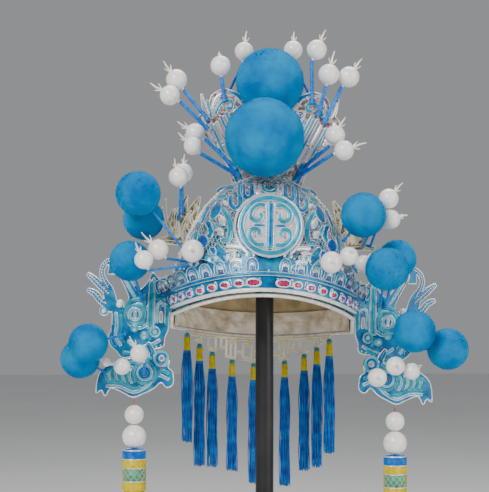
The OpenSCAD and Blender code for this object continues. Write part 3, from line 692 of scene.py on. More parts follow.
def filigreeRings(step, wanted):
    circle = ring(0, 0, filigree["ringR"] * step / filigree["frontStep"], 9)
    shape, faces = tube(np.insert(circle, 2, 0, 1), filigree["wire"], 4, True)
    parts, z, row = [], filigree["low"], 0
    while z < head["wall"] + head["crown"] - 3:
        r = float(capRadius(z))
        n = max(3, int(2 * math.pi * r / step))
        t = max(0.0, (z - head["wall"]) / head["crown"])
        for i in range(n):
            a = (i + row % 2 / 2) * 2 * math.pi / n
            p = np.array([r * math.sin(a), -r * math.cos(a), z])
            if not wanted(p):
                continue
            across = np.array([math.cos(a), math.sin(a), 0])
            slope = max(z - head["wall"], 0) * (head["capR"] / head["crown"]) ** 2
            out = unit(np.array([p[0], p[1], slope]))
            up = np.cross(out, across)
            corners = p + shape[:, :1] * across + shape[:, 1:2] * up + (shape[:, 2:] + filigree["lift"]) * out
            parts.append(((corners, faces), ice if (i + row) % 3 == 0 else silver))
            if (i * 7 + row * 3) % filigree["speckEvery"] == 0:
                parts.append((bead(p + out * 0.1, filigree["speckR"], 6, 4), ruby))
        z += step * 0.87 / math.sqrt(1 + (head["capR"] * t / head["crown"]) ** 2 / (1 - t * t))
        row += 1
    return parts


def onFrontDome(p):
    rho = math.hypot(p[0], p[2] - head["archZ"]) - head["archR"]
    away = math.hypot(p[0], p[2] - head["roundelZ"])
    return p[1] < 0 and rho > filigree["bandTop"] and away > filigree["halo"]


piece("filigreeFront", filigreeRings(filigree["frontStep"], onFrontDome))
piece("filigreeRear", filigreeRings(filigree["rearStep"], lambda p: p[1] >= 0))
print("filigree laid")

# Crown: inlay round the roundel, the same on each side: colour, width, then x and z (and width) along it
crown = {"haloR": 32.4, "haloWidth": 1.6, "speckR": 0.95, "wide": 1.35}
crownStrips = [
    (enamel, 2.6, [[24.3, 144], [24.3, 133], [20.4, 128.5], [16.1, 133], [16.1, 144]]),
    (enamel, 2.6, [[36.2, 132], [36.2, 122.5], [31.5, 118.3], [27.6, 122], [27.4, 134], [27, 146]]),
    (enamel, 3.2, [[48.8, 136], [41.7, 140.3], [33, 140.3]]),
    (turquoise, 2.6, [[49.6, 129.7], [45, 131], [40.1, 130.9]]),
    (enamel, 4.7, [[47.3, 125, 2.4], [50.4, 116.3, 5.4], [54.4, 107.7, 2.4]]),
    (turquoise, 2.8, [[44.6, 118.5], [39.6, 111], [36.6, 102], [36.4, 93], [39, 87], [45.5, 87.4]]),
    (silver, 3.4, [[47, 112, 1.4], [44, 106, 3.4], [42, 101, 1.4]]),
    (silver, 3.4, [[47.5, 99, 1.4], [45.2, 94.5, 3.2], [43.4, 91.5, 1.4]]),
    (turquoise, 2.4, [[53.4, 104], [51.4, 100], [51, 96]]),
    (enamel, 3.0, [[59.2, 105.5], [55.6, 100.6], [54.6, 94.3], [57, 89]]),
    (azure, 6.5, [[62, 92, 2.6], [62.4, 85.5, 6.5], [62.6, 79, 2.6]]),
    (enamel, 5.0, [[49.5, 83, 2.4], [44, 73.5, 5], [38.5, 66, 3]]),
    (turquoise, 4.0, [[64.5, 70.5, 2.6], [53, 69.4, 4], [45, 64.5, 4], [42, 58.5, 2.4]]),
    (azure, 3.0, [[55, 79], [51, 76], [52.5, 73]]),
    (silver, 2.0, [[25.5, 80.5], [32, 81.6], [40, 81.4]]),
    (silver, 2.0, [[29.5, 76], [35, 76.6], [40, 76]]),
    (turquoise, 2.0, [[27, 71.5], [33, 72], [38.5, 71.4]]),
    (silver, 2.0, [[24.5, 67], [30, 67.6], [35.5, 67.2]]),
    (turquoise, 2.2, [[21.5, 62.5], [26, 63.4], [31, 62.6]]),
    (silver, 1.8, [[9, 144], [9, 135.5], [12.6, 135.5], [12.6, 144]]),
    (enamel, 2.4, [[57, 122], [61, 113], [64, 104]]),
    (silver, 2.0, [[43.5, 125.5], [41, 124], [40, 121.5]]),
    (turquoise, 2.4, [[68, 96], [69.5, 88], [69.5, 80]]),
]
parts = hooped(0, head["roundelZ"], crown["haloR"], crown["haloWidth"], onDome, silver)
parts += laid(crownStrips, onFront, True, crown["wide"])
parts += laid([(turquoise, 2.4, [[-5.4, 144], [-5.2, 138], [0.8, 135.6], [7, 138], [7.2, 144]])], onFront)
crownSpecks = [[20.3, 139], [31.8, 127], [46.5, 110], [37.5, 87], [57.5, 83.5], [35, 74], [30, 70],
               [47, 121], [10.8, 139.5]]
for x, z in crownSpecks:
    parts += grains([[x, z], [-x, z]], onFront, crown["speckR"], ruby)
piece("crownStrips", parts, ["cap_tracery"])
print("crown inlaid")

# The dome's sides and rear: beaded strips, leaves and a plain rosette
rearStrips = [
    (enamel, 2.6, [[8, 96], [20, 104], [30, 98], [30, 86], [20, 80], [14, 88], [21, 92]]),
    (turquoise, 3.6, [[6, 110, 2], [14, 120, 4], [27, 122, 2]]),
    (enamel, 2.6, [[36, 112], [45, 100], [46, 86], [38, 78]]),
    (turquoise, 2.6, [[8, 72], [20, 66], [33, 68], [44, 62]]),
    (azure, 4.4, [[52, 84, 2], [56, 72, 4.6], [54, 60, 2]]),
    (enamel, 2.6, [[10, 46], [24, 52], [38, 46], [52, 42]]),
    (turquoise, 2.4, [[12, 26], [26, 31], [40, 26], [56, 30]]),
]
parts = hooped(0, 94, 9, 3, onTurned(180), turquoise) + hooped(0, 94, 4, 2, onTurned(180), silver)
parts += grains([[0, 94]], onTurned(180), 1.8, ruby, 0.8)
parts += laid(rearStrips, onTurned(180), True)
sideStrips = [
    (paleGold, 5.0, [[0, 66, 3], [0, 92, 5], [0, 118, 5], [0, 140, 3]]),
    (enamel, 2.4, [[7, 70], [9, 88], [8, 106], [6, 124]]),
    (turquoise, 3.6, [[-8, 74, 2], [-13, 84, 4], [-10, 96, 2]]),
    (turquoise, 3.6, [[-7, 98, 2], [-11, 107, 4], [-8, 118, 2]]),
    (enamel, 2.4, [[15, 60], [19, 76], [16, 92], [22, 100]]),
]
sideTurn = 74
for sign in (-1, 1):
    place = onTurned(sign * sideTurn)
    for colour, width, q in sideStrips:
        parts += laid([(colour, width, q if sign > 0 else mirrored(q))], place)
    for z in range(68, 140, 3):
        parts += grains([[sign * -1.3, z], [sign * 1.3, z]], place, 0.85, paleGold, 0.9)
piece("domeStrips", parts)
print("dome sides inlaid")

# Front band: two ridges, and for each stone an arch of inlay above it and a setting round it
band = {"reach": 88.0, "rimAt": 2.4, "rimWidth": 2.4, "ridgeAt": 17.4, "ridgeWidth": 2.6, "ridgeLift": 3.1,
        "archWidth": 2.1, "speckR": 1.0, "grainR": 0.75, "leafStep": 4.2}


def onRidge(q, lift):
    return onBand(q, lift + band["ridgeLift"])


parts = []
ridges = ((band["rimAt"], band["rimWidth"], ivory), (band["ridgeAt"], band["ridgeWidth"], enamel))
for at, width, colour in ridges:
    end = math.degrees(math.asin(band["reach"] / (head["archR"] + at)))
    parts += inlaid([[-end, at], [0, at], [end, at]], width, onRidge, colour)
stones = []
for solid in looseParts("band_stones"):
    middle = solid.mean(0)
    stones.append((math.degrees(math.atan2(middle[0], middle[2] - head["archZ"])), solid))
stones.sort(key=lambda stone: stone[0])
for i, (a, solid) in enumerate(stones):
    place = onBandAt(a)
    arch = [[-4.0, 20], [-4.0, 26], [-2.6, 29.8], [0, 31.3], [2.6, 29.8], [4.0, 26], [4.0, 20]]
    parts += laid([(turquoise if i % 2 else enamel, band["archWidth"], arch)], place)
    parts += laid([(silver, 1.5, [[-1.6, 24.5], [0, 27.3], [1.6, 24.5]])], place)
    parts += grains([[0, 22]], place, band["speckR"], ruby)
    parts += grains([[-6.2, 7.2], [-6.2, 13], [6.2, 7.2], [6.2, 13]], place, band["grainR"], silver)
    if i and a > stones[i - 1][0]:
        between = onBandAt((a + stones[i - 1][0]) / 2)
        if abs(a) > 4:
            parts += laid([(azure, 1.7, [[0, 7], [0, 10.5], [0, 14]])], between)
        parts += grains([[0, 20.5], [0, 33.2]], between, band["grainR"] * 1.3, silver)
for k in range(-5, 6):  # a leaf on each scallop
    parts += laid([(turquoise, 3.6, [[0, 31.8, 1.6], [0, 34.4, 3.6], [0, 37.6, 1.4]]),
                   (silver, 1.3, [[-3, 33.4], [-3.4, 35.4], [-2.2, 37.2]]),
                   (silver, 1.3, [[3, 33.4], [3.4, 35.4], [2.2, 37.2]])], onBandAt(k * band["leafStep"]))
piece("bandInlay", parts)
parts = []
for a, solid in stones:
    middle = solid.mean(0)
    out = unit(middle * [1, 1, 0])
    across = np.cross([0, 0, 1.0], out)
    reach = solid @ out
    base = solid[reach < reach.min() + 0.3]
    w, h = np.ptp(base @ across) / 2, np.ptp(base[:, 2]) / 2
    centre = base.mean(0)
    t = np.arange(20)[:, None] * math.pi / 10

    def around(grow, high):
        return centre + np.cos(t) * across * (w + grow) + np.sin(t) * np.array([0, 0, h + grow]) + out * high
    for grow, high, r in ((0.5, 0.9, 0.55), (1.2, 0.1, 0.6)):
        parts.append((tube(around(grow, high), r, 6, True), silver))
    for i in range(0, 20, 5):  # four prongs
        foot, tip = around(0.6, 0.4)[i], around(-0.5, 1.9)[i]
        prong = np.stack([foot, (foot + tip) / 2 + out * 0.3, tip])
        parts.append((tube(prong, [0.5, 0.45, 0.3], 5), silver))
piece("stoneSettings", parts)
violetBehind = above([0, -66, 0], [0, 1, 0])  # the stones further back are violet
dressed("band_stones", shader("bandStones", "ruby", "amethyst", violetBehind, **cutStone))
print("band and settings laid")

# Wires along the edges of every plate
plateWire = {"plate": 0.65, "crest": 0.6, "roundel": 0.42, "finial": 0.6, "fret": 0.85, "near": 0.2}
trimmed("crestTrim", "crest_plate", lambda p: abs(p[1] - crestFace) < plateWire["near"],
        plateWire["crest"], silver)
trimmed("roundelTrim", "roundel", lambda p: p[1] < -capRadius(p[2]) - 3, plateWire["roundel"], silver)
trimmed("fretTrim", "rear_fret", lambda p: p[2] < 40, plateWire["fret"], paleGold)
for side, sign in sides.items():
    normal = np.array([sign * math.sin(head["sweep"]), -math.cos(head["sweep"]), 0])
    anchor = np.array([sign * (head["capR"] + head["gap"]), 0, 0])
    for kind, depth in depths.items():
        trimmed(kind + "Trim_" + side, kind + "_" + side,
                lambda p: abs((p - anchor) @ normal - depth) < plateWire["near"], plateWire["plate"], silver)
    trimmed("finialTrim_" + side, "finial_" + side, lambda p: p[1] < finialFace + plateWire["near"],
            plateWire["finial"], paleGold)
print("edges wired")

# Ornament on the side plates: strips in millimetres from the headdress's middle plane, and height
wingStrips = [
    (turquoise, 2.6, [[104.6, 45], [105.4, 36], [104.8, 28]]),
    (turquoise, 2.8, [[111.2, 46], [111.2, 24], [111.3, 0]]),
    (turquoise, 2.6, [[137.5, 19.5], [132, 26], [124, 28], [117.5, 25]]),
    (turquoise, 2.4, [[118.6, 33], [117.8, 20], [118.2, 8], [121, 1]]),
    (azure, 2.2, [[149.6, 2], [149.8, -6], [149.6, -14], [146, -20]]),
    (turquoise, 2.8, [[142.4, 12], [142, 0], [142.8, -9], [137.4, -16]]),
    (turquoise, 2.8, [[139, -25.5], [128, -25.8], [117, -21.4], [104.5, -16.6]]),
    (turquoise, 2.2, [[94.4, 3], [94.2, 14], [94.6, 26], [99, 29], [104, 27.4]]),
    (azure, 2.4, [[94.6, 38], [99.6, 39.5], [101.4, 35.6], [98.6, 33.4], [96.4, 35.6]]),
    (turquoise, 2.0, [[112.6, -3], [113, -9], [110, -12.4]]),
    (azure, 2.2, [[125, 36.5], [128.4, 41]]),
]
wingRings = [(127.5, -1, 3.2, 1.4, ice), (117.5, -8, 3.1, 1.4, ice), (106.5, -4, 3.0, 1.6, turquoise),
             (127.5, 12.5, 9.6, 2.2, turquoise), (159.5, 15, 2.6, 1.4, ice)]
straps = [[[155, 32, 5.4], [162.5, 39, 6], [169, 45, 5.6], [177, 51.4, 2.6]],
          [[157, 22.6, 6], [163, 25, 6], [169, 32, 5.6], [176.6, 35.6, 2.6]],
          [[144.4, 56, 4], [147, 63, 4.4], [154, 66, 4.4], [161, 61, 4.4], [163, 53, 4.4], [160, 45, 5],
           [156, 38, 7]]]
wingSpecks = [[100.6, 19], [97.6, -12.6], [103, -13.6], [122, -13.4], [133.6, 3.4], [115, 29.6], [136, 14]]
collarStrips = [
    (turquoise, 2.6, [[95.6, -45], [103, -42.4], [108.6, -47.6], [111.4, -54]]),
    (turquoise, 2.8, [[124, -59.6], [133, -60.6], [145, -55.8], [159, -56]]),
    (turquoise, 2.2, [[114, -30], [125, -34.2], [139, -35.6], [152, -40.4], [160, -46]]),
    (ice, 1.5, [[97, -38.6], [99.4, -34], [98.6, -29]]),
    (azure, 2.2, [[114.6, -25.6], [117, -20.6], [119, -16.4]]),
]
collarRings = [(121, -45, 4.6, 2.2, azure), (104, -30, 4.8, 1.8, azure), (121, -45, 10.8, 1.6, turquoise)]
for side, sign in sides.items():
    place = platePlaces["wing_" + side]
    parts = laid(wingStrips, place, edge=ice)
    for x, z, r, width, colour in wingRings:
        parts += hooped(x, z, r, width, place, colour, ice)
    for strap in straps:
        parts += [(w, silver) for w in ladder(strap, place)]
        spine = flow(np.asarray(strap)[:, :2])
        parts.append((tube(place(spine, 0.3), 0.45, 5), silver))
    parts += grains(wingSpecks, place, 1.0, ruby)
    parts += grains([[100 + 4.4 * i, -17.4 - 1.5 * i] for i in range(4)], place, 0.9, silver)
    parts += grains([[159.5, 15]], place, 2.4, pearly, 1.6) + grains([[143.5, 22]], place, 3.6, pearly, 1.2)
    piece("wingOrnament_" + side, parts)
    place = platePlaces["collar_" + side]
    parts = laid(collarStrips, place, edge=ice)
    parts += laid([(turquoise, 2.2, [[130.6 + 7 * i, -38.4 - i], [133.4 + 7 * i, -47], [130.6 + 7 * i, -55]])
                   for i in range(5)], place, edge=ice)
    for x, z, r, width, colour in collarRings:
        parts += hooped(x, z, r, width, place, colour, ice)
    parts += grains([[121, -45]], place, 1.9, ruby, 0.8)
    parts += grains([[104, -36], [104, -40]], place, 1.1, ruby)
    parts += grains([[112 + 5.6 * i, -27.6 - 1.0 * i] for i in range(6)], place, 0.9, silver)
    piece("collarOrnament_" + side, parts)
print("wings and collars inlaid")

# Crest: slanted strips between its pierced slots, curls at its tips, and a border
crest = {"slant": math.radians(64), "step": 5.9, "base": (40.0, 180.0)}


def slanted(row, low, high):  # a straight strip along the slats, in a row of its own
    c, s = math.cos(crest["slant"]), math.sin(crest["slant"])
    off = crest["step"] * (row - 1.4)
    x, z = crest["base"][0] - off * s, crest["base"][1] + off * c
    return [[x + t * c, z + t * s] for t in (low, (low + high) / 2, high)]


crestStrips = [
    (turquoise, 2.0, slanted(0.5, -4, 30)),
    (roseSilver, 2.0, slanted(1.5, -12, 29)),
    (enamel, 2.0, slanted(2.5, -10, 33)),
    (roseSilver, 2.6, slanted(-0.5, 10, 30)),
    (turquoise, 2.6, slanted(3.6, -14, 34)),
    (enamel, 2.4, slanted(4.5, -18, 26)),
    (enamel, 2.6, [[29, 146], [34, 156], [40.4, 168], [50, 180]]),
    (turquoise, 2.4, [[23.4, 146], [28.6, 157], [35, 168.6]]),
    (silver, 2.0, [[55.6, 189], [62, 199.4], [65.6, 210]]),
    (roseSilver, 2.8, [[60.4, 213.4, 3], [64.4, 222, 2.8], [67, 230, 1.2]]),
    (roseSilver, 2.4, [[57, 218], [53.6, 229], [46, 234.4], [36, 232.6]]),
    (turquoise, 2.8, [[53.6, 214], [50.6, 222], [44.4, 227.6], [37.4, 226], [38.4, 220.6], [43.6, 220.4]]),
    (turquoise, 2.6, [[62, 228, 1.4], [60, 218, 3], [56.4, 209, 1.6]]),
    (enamel, 3.0, [[27.4, 228], [33, 234], [43, 235.6]]),
    (enamel, 2.0, [[22, 222.6], [24.4, 214], [24, 205]]),
    (turquoise, 2.0, [[12, 144], [14, 152], [20, 160]]),
]
crestSpecks = [[31, 216], [59.6, 205], [56.4, 198], [48, 233], [18, 156], [52, 209]]
parts = laid(crestStrips, crestPlace, True)
for sign in (-1, 1):
    parts += hooped(sign * 31, 216, 2.6, 1.4, crestPlace, azure)
    parts += grains(np.array(crestSpecks) * [sign, 1], crestPlace, 1.1, ruby)
    edge = flow([[33, 151], [38, 160], [45.6, 173], [53.4, 183.4]], 2.4)
    parts += grains(edge * [sign, 1], crestPlace, 0.8, silver)
piece("crestStrips", parts)

# Finials: veins on their leaves, and a spray of gilt wires between them
spray = {"wires": 8, "first": 48, "step": 10, "reach": 30, "longer": 6, "foot": (84, 88), "bend": 0.25,
         "veinR": 0.5, "r": 0.55, "tipR": 1.2}
veins = [[[80, 87], [86.6, 97], [84.4, 112], [79.6, 129]], [[90, 88], [93.4, 96], [94.2, 105], [92.2, 116]],
         [[67, 97], [74.6, 105], [72, 117], [66.6, 129]], [[62, 84], [84, 86], [98, 87], [107, 85]],
         [[78, 93], [80.6, 99], [79.6, 106]], [[88.6, 92], [89.6, 99], [88.4, 107]]]
place = onUpright(finialFace)
parts = []
for sign in (-1, 1):
    for q in veins:
        q = np.array(q) * [sign, 1]
        parts.append((tube(place(flow(q), 0.3), spray["veinR"], 5), paleGold))
        parts += grains(flow(q, 3.2)[1:-1], place, 0.75, ivory)
    for k in range(spray["wires"]):
        a = math.radians(spray["first"] + spray["step"] * k)
        reach = spray["reach"] + spray["longer"] * (k % 3)
        bend = a - spray["bend"]
        ends = np.array([[0, 0], [math.cos(bend) / 2, math.sin(bend) / 2], [math.cos(a), math.sin(a)]])
        q = (spray["foot"] + ends * reach) * [sign, 1]
        parts.append((tube(place(flow(q), 0.6), spray["r"], 5), paleGold))
        parts += grains(q[2:], place, spray["tipR"], ivory, 0.6)
piece("finialVeins", parts)

# Roundel: inlay on its bar, ring and scrolls, and specks between them
scroll = {"lift": 1.1, "ringR": 27.2, "speckR": 0.95}


def onScroll(q, lift):  # over the roundel's own raised lines
    return onRoundel(q, lift + scroll["lift"])


roundelSpecks = [(6, 13.4), (13.4, 9), (5.4, -9), (14, -10.6), (19.6, 0.4), (12, 2), (5.4, 5), (13.4, -14)]
scrollStrips = [
    (turquoise, 3.4, [[4.5, 19.2], [12, 20], [18, 14], [18.2, 7], [12.4, 3.8], [8.6, 8], [10.4, 12]]),
    (turquoise, 3.4, [[4.5, -18.6], [13, -19], [19, -12], [17.4, -4.6], [11.6, -4.4], [9.4, -10]]),
]
parts = hooped(0, 0, scroll["ringR"], 3.6, onScroll, turquoise)
parts += laid([(enamel, 5.4, [[0, -22.5], [0, 0], [0, 22.5]])], onScroll)
parts += laid(scrollStrips, onScroll, True)
for sign in (-1, 1):
    for x, z in roundelSpecks:
        colour = ruby if (x * 2) % 4 < 2 else paleGold
        parts += grains([[sign * x, z]], onRoundel, scroll["speckR"], colour, 0.6)
    leaf = np.array([[4.4, 0, 1.4], [10, 0.2, 2.2], [16, 0, 1.4]]) * [sign, 1, 1]
    parts += laid([(enamel, 1.8, leaf)], onRoundel)
piece("roundelSpecks", parts)
print("crest, finials and roundel finished")

# Pompoms: a ball of dense pile, with fine tufts all over
pile = {"seed": 7, "tuftsPerArea": 0.55, "tuftWidth": 0.55, "tuftTop": (0.2, 1.1), "lean": 0.03,
        "root": 0.955, "ball": 0.975, "waves": 14, "waveLength": 5.5, "waveDepth": 0.1, "dimples": 5,
        "dimpleDepth": 1.1, "dimpleSpread": 0.035, "ripple": 0.35, "fuzz": 0.12, "largeR": 30}
rng = np.random.default_rng(pile["seed"])


def ball(level):
    bm = bmesh.new()
    bmesh.ops.create_icosphere(bm, subdivisions=level, radius=1)
    v = np.array([list(x.co) for x in bm.verts])
    f = [tuple(c.index for c in x.verts) for x in bm.faces]
    bm.free()
    return v, f


def ripples(dirs, r):  # shallow parting lines and dimples in the pile
    out = np.zeros(len(dirs))
    for _ in range(pile["waves"]):
        k = rng.normal(size=3) * r / pile["waveLength"]
        out += pile["waveDepth"] * np.sin(dirs @ k + rng.uniform(0, 6.3))
    for _ in range(pile["dimples"]):
        c = unit(rng.normal(size=3))
        out -= pile["dimpleDepth"] * np.exp(-((1 - dirs @ c) / pile["dimpleSpread"]) ** 2)
    return out


def extent(part):  # a node's lowest and highest corner, in millimetres
    return [np.array(corner) * 1000 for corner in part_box(part)]


for part in [n for n in nodes if n.startswith("pompom_")]:
    low, high = extent(part)
    middle, r = (low + high) / 2, float(high[2] - low[2]) / 2
    v, f = ball(6 if r > pile["largeR"] else 5)
    waves = ripples(v, r)
    fuzz = rng.normal(0, pile["fuzz"], len(v))
    body = middle + v * (r * pile["ball"] + pile["ripple"] * waves + fuzz)[:, None]
    count = int(4 * math.pi * r * r * pile["tuftsPerArea"])
    d = unit(rng.normal(size=(count, 3)))
    side = unit(np.cross(d, rng.normal(size=(count, 3))))
    reach = r * pile["ball"] + rng.uniform(*pile["tuftTop"], count)
    rootAt = middle + d * (r * pile["root"])
    tip = middle + unit(d + side * pile["lean"]) * reach[:, None]
    w = pile["tuftWidth"] / 2
    tufts = np.stack([rootAt - side * w, rootAt + side * w, tip], 1).reshape(-1, 3)
    blades = [(3 * i, 3 * i + 1, 3 * i + 2) for i in range(count)]
    parts = [((body, f), velvet), ((tufts, blades), velvet)]
    piece("pile_" + part[len("pompom_"):], parts, [part], scaled)
print("pompoms fluffed")

# Stems: blue silk wound round each wire, and an ivory horn with two prongs beyond each pearl
winding = {"pitch": 2.4, "around": 10, "threadR": 0.28, "ridge": 0.1, "flare": 0.5, "flareLength": 2.2,
           "step": 0.55, "threadOut": 1.08, "crestR": 2.0, "sideR": 1.3, "straightR": 1.25}
spike = {"base": 1.5, "tip": 0.45, "prongs": 0.45, "prongBase": 1.1, "prongTip": 0.35, "spread": 0.62,
         "collarR": 1.9, "sunk": 0.4}
grip = {"near": 1.15, "corners": 12, "bead": 0.35, "beadR": 1.7, "knee": 0.85, "neckR": 0.7, "wrapped": 0.95}
# a stem carries the pearl that this many of its corners lie close to


def wound(a, b, r):  # a stem with wound ridges, and a thread round it
    length = float(np.linalg.norm(b - a))
    t = np.linspace(0, 1, max(8, int(length / winding["step"])))
    path = a + (b - a) * t[:, None]
    s = t[:, None] * length
    k = np.arange(winding["around"]) * 2 * math.pi / winding["around"]
    # the foot spreads where it is sewn down
    flare = 1 + winding["flare"] * np.exp(-(s / winding["flareLength"]) ** 2)
    ridges = 1 + winding["ridge"] * np.cos(k[None] - s * 2 * math.pi / winding["pitch"])
    out = unit(np.cross(unit(b - a), [0.3, 0.2, 1.0]))
    up = np.cross(unit(b - a), out)
    turn = s * 2 * math.pi / winding["pitch"]
    thread = path + r * winding["threadOut"] * flare * (np.cos(turn) * out + np.sin(turn) * up)
    return tube(path, r * ridges * flare, winding["around"]), tube(thread, winding["threadR"], 4)


def horn(c, r, direction, tip):  # one long horn and two short prongs
    base = c + direction * (r - spike["sunk"])
    across = unit(np.cross(direction, [0, 1.0, 0.2]))
    reach = tip - base
    way = flow(np.stack([base, base + reach * 0.5 + across * 0.5, tip]), 1.2)
    parts = [(tube(way, np.linspace(spike["base"], spike["tip"], len(way)), 8), ivory)]
    for turn in (-1, 1):
        end = base + spike["prongs"] * (reach + turn * across * np.linalg.norm(reach) * spike["spread"])
        way = flow(np.stack([base, (base + end) / 2 + across * turn * 0.7, end]), 1.2)
        parts.append((tube(way, np.linspace(spike["prongBase"], spike["prongTip"], len(way)), 6), ivory))
    parts.append((bead(base, spike["collarR"], 10, 5), ivory))
    return parts


def apart(points, p):  # how far each point lies from one
    return np.linalg.norm(points - p, axis=1)


def pearlStem(solid, c, r, thick):  # the neck and horn at a pearl, and the ends of its wound stem
    close = solid[apart(solid, c) < r + grip["near"]]
    direction = unit(np.linalg.svd(close - close.mean(0))[2][0])
    if (solid[np.argmax(apart(solid, c))] - c) @ direction > 0:
        direction = -direction
    s = (solid - c) @ direction
    tip = solid[s > s.max() - 0.3].mean(0)
    knee = c - direction * (r + grip["knee"] + thick)
    d = apart(solid, knee) * (s < 0)
    foot = solid[d > d.max() - 0.6].mean(0)
    neck = np.stack([knee, knee + direction * thick, c])
    parts = [(tube(neck, [thick * 0.9, grip["neckR"], grip["neckR"]], 8), woundSilk),
             (bead(c - direction * (r + grip["bead"]), grip["beadR"], 8, 4), silver)]
    return parts + horn(c, r, direction, tip), foot, knee


def straightStem(solid):  # the ends of a stem that carries a pompom, its wider foot first
    far = max(((a, b) for a in solid[::3] for b in solid[::3]), key=lambda ab: np.linalg.norm(ab[0] - ab[1]))
    s = (solid - far[0]) @ unit(far[1] - far[0])
    ends = [solid[s < s.min() + 1.0].mean(0), solid[s > s.max() - 0.5].mean(0)]
    return sorted(ends, key=lambda end: -(apart(solid, end) < 3).sum())


for region in ["crest_left", "crest_mid", "crest_right", "side_left", "side_right", "ear_left", "ear_right"]:
    pearls = [(p.mean(0), np.ptp(p[:, 2]) / 2) for p in looseParts("pearls_" + region)]
    thick = winding["crestR"] if region in ("crest_left", "crest_right") else winding["sideR"]
    parts = []
    for solid in looseParts("stems_" + region):
        carried = [(c, r) for c, r in pearls
                   if (apart(solid, c) < r + grip["near"]).sum() >= grip["corners"]]
        if carried:
            headParts, foot, knee = pearlStem(solid, *carried[-1], thick)
            parts += headParts
        else:
            foot, knee = straightStem(solid)
        shape, thread = wound(foot, knee, thick * grip["wrapped"] if carried else winding["straightR"])
        parts += [(shape, woundSilk), (thread, paleSilk)]
    piece("woundStems_" + region, parts, ["stems_" + region])
print("stems wound")

# Tassels: loose silk threads under a wound head and a knot
threads = {"count": 40, "r": 0.42, "wave": 0.5, "rows": 14, "goldenTurn": 2.39996, "waves": (6, 13)}


def hanks(x, y, top, low, topR, lowR, count, m, spread=3.5):  # threads that hang and sway a little
    made = []
    for i in range(count):
        a = i * threads["goldenTurn"]
        f = math.sqrt((i + 0.5) / count)
        z = np.linspace(top, low + rng.uniform(0, spread), threads["rows"])
        t = np.linspace(0, 1, threads["rows"])
        out = (topR + (lowR - topR) * np.minimum(1, t * 5)) * f
        sway = threads["wave"] * np.minimum(1, t * 3)
        aside = sway * np.sin(t * rng.uniform(*threads["waves"]) + rng.uniform(0, 6.3))
        ahead = sway * np.cos(t * rng.uniform(*threads["waves"]))
        path = np.stack([x + out * math.cos(a) + aside, y + out * math.sin(a) + ahead, z], -1)
        made.append((tube(path, threads["r"], 4), m))
    return made


def hoops(x, y, z, r, n, step, wireR, m):  # rings of thread wound round a stem
    a = np.arange(16) * math.pi / 8
    hoop = np.stack([x + r * np.cos(a), y + r * np.sin(a), np.full(16, z)], -1)
    return [(tube(hoop - [0, 0, i * step], wireR, 5, True), m) for i in range(n)]


tassel = {"knotR": 3.0, "headR": 2.9, "coreR": 3.0, "topR": 3.4, "lowR": 5.6}
rearHoops = [(1.6, 2.4, 4, 0.9, 0.55, tealSilk), (5.2, 3.0, 16, 0.86, 0.5, yellowSilk),
             (18.6, 3.4, 3, 0.9, 0.6, silk)]  # depth, radius, number, step, thread, colour
for part in [n for n in nodes if n.startswith("rear_tassel_")]:
    low, high = extent(part)
    x, y, _ = (low + high) / 2
    top = high[2]
    parts = [(bead([x, y, top - 3], tassel["knotR"], 12, 8), tealSilk)]
    for depth, *rest in rearHoops:
        parts += hoops(x, y, top - depth, *rest)
    parts += [(tube([[x, y, top - 4], [x, y, top - 20]], tassel["headR"], 12), yellowSilk)]
    parts += hanks(x, y, top - 18, low[2], tassel["topR"], tassel["lowR"], threads["count"], silk)
    parts += [(tube([[x, y, top - 19], [x, y, low[2] + 12]], tassel["coreR"], 8), silk)]
    piece("tassel_" + part[len("rear_tassel_"):], parts, [part], scaled)
print("rear tassels hung")

# Side tassels: a banded barrel and a long skirt of silk
barrel = {"r": 11.5, "skirtThreads": 130, "crossings": 12, "crossTurn": 0.14, "crossR": 0.3,
          "crossOut": 0.25, "crossTop": 19.6, "crossHigh": 11.8}
barrelBands = [(10, 19, yellowSilk), (19, 32, tealSilk), (32, 42, yellowSilk)]  # from, to, colour
barrelHoops = [(2.4, 0, 7, 1.1, 0.5, silk), (10.6, 0, 8, 1.05, 0.48, yellowSilk),
               (32.8, 0, 9, 1.02, 0.48, yellowSilk), (1.2, -0.4, 1, 1, 0.8, silver)]
barrelHoops += [(z, 0.2, 1, 1, 0.55, silver) for z in (10, 19, 32)]
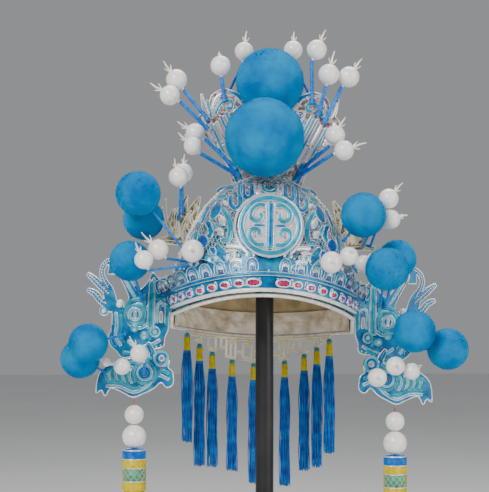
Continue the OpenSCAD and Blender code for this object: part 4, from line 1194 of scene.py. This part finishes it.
# each row: depth, how far out, number, step, thread's radius, colour
for side in sides:
    part = "side_tassel_" + side
    low, high = extent(part)
    x, y, _ = (low + high) / 2
    top = high[2]
    r = barrel["r"]
    parts = [(tube([[x, y, top - 0.2], [x, y, top - 1.2], [x, y, top - 10]], [6, r, r], 40), silk)]
    parts += [(tube([[x, y, top - a], [x, y, top - b]], r, 40), m) for a, b, m in barrelBands]
    for depth, out, *rest in barrelHoops:
        parts += hoops(x, y, top - depth, r + out, *rest)
    for i in range(barrel["crossings"]):  # crossing threads on the teal band
        for way in (1, -1):
            t = np.linspace(0, 1, 9)
            a = (i / barrel["crossings"] + way * t * barrel["crossTurn"]) * 2 * math.pi
            out = r + barrel["crossOut"]
            z = top - barrel["crossTop"] - barrel["crossHigh"] * t
            line = np.stack([x + out * np.cos(a), y + out * np.sin(a), z], -1)
            parts.append((tube(line, barrel["crossR"], 4), yellowSilk))
    parts += hanks(x, y, top - 41, low[2], r - 1.5, r - 0.6, barrel["skirtThreads"], silk, 5)
    parts += [(tube([[x, y, top - 41.5], [x, y, low[2] + 14]], r - 3.5, 14), silk)]
    piece("skirt_" + side, parts, [part], scaled)
print("side tassels hung")

# Floor, light and camera
studio = {"floor": 6.0, "room": 0.34}
lights = [("key", (-1.1, -1.7, 1.7), (0, 0, 0.45), 1.1, 52.0),
          ("fill", (1.6, -1.2, 0.9), (0, 0, 0.42), 1.4, 20.0),
          ("top", (0.2, 0.6, 2.0), (0, 0, 0.5), 1.2, 24.0)]  # name, place, target, size, power
mesh = bpy.data.meshes.new("floor")
s = studio["floor"]
mesh.from_pydata([(-s, -s, 0), (s, -s, 0), (s, s, 0), (-s, s, 0)], [], [(0, 1, 2, 3)])
floor = standing("floor", mesh)
floor.data.materials.append(shader("paleFloor", "paper"))
for name, at, target, size, power in lights:
    data = bpy.data.lights.new(name, "AREA")
    data.energy, data.size = power, size
    obj = standing(name, data)
    obj.location = at
    obj.rotation_euler = (Vector(target) - Vector(at)).to_track_quat("-Z", "Y").to_euler()
world = bpy.data.worlds.new("softRoom")
world.use_nodes = True
filled(world.node_tree, world.node_tree.nodes["Background"],
       {"Color": (0.86, 0.88, 0.9, 1), "Strength": studio["room"]})
bpy.context.scene.world = world

view = {"distance": 1.5, "azimuth": math.radians(-3), "height": 0.421, "frame": 0.492,
        "right": -0.020, "up": 0.044, "sensor": 36.0}
lens = bpy.data.cameras.new("camera")
lens.sensor_width = view["sensor"]
lens.lens = view["sensor"] * view["distance"] / view["frame"]
lens.shift_x = view["right"] / view["frame"]
lens.shift_y = view["up"] / view["frame"]
camera = standing("camera", lens)
away, turn = view["distance"], view["azimuth"]
camera.location = (away * math.sin(turn), -away * math.cos(turn), view["height"])
camera.rotation_euler = (math.pi / 2, 0, turn)
bpy.context.scene.camera = camera
print("studio set")
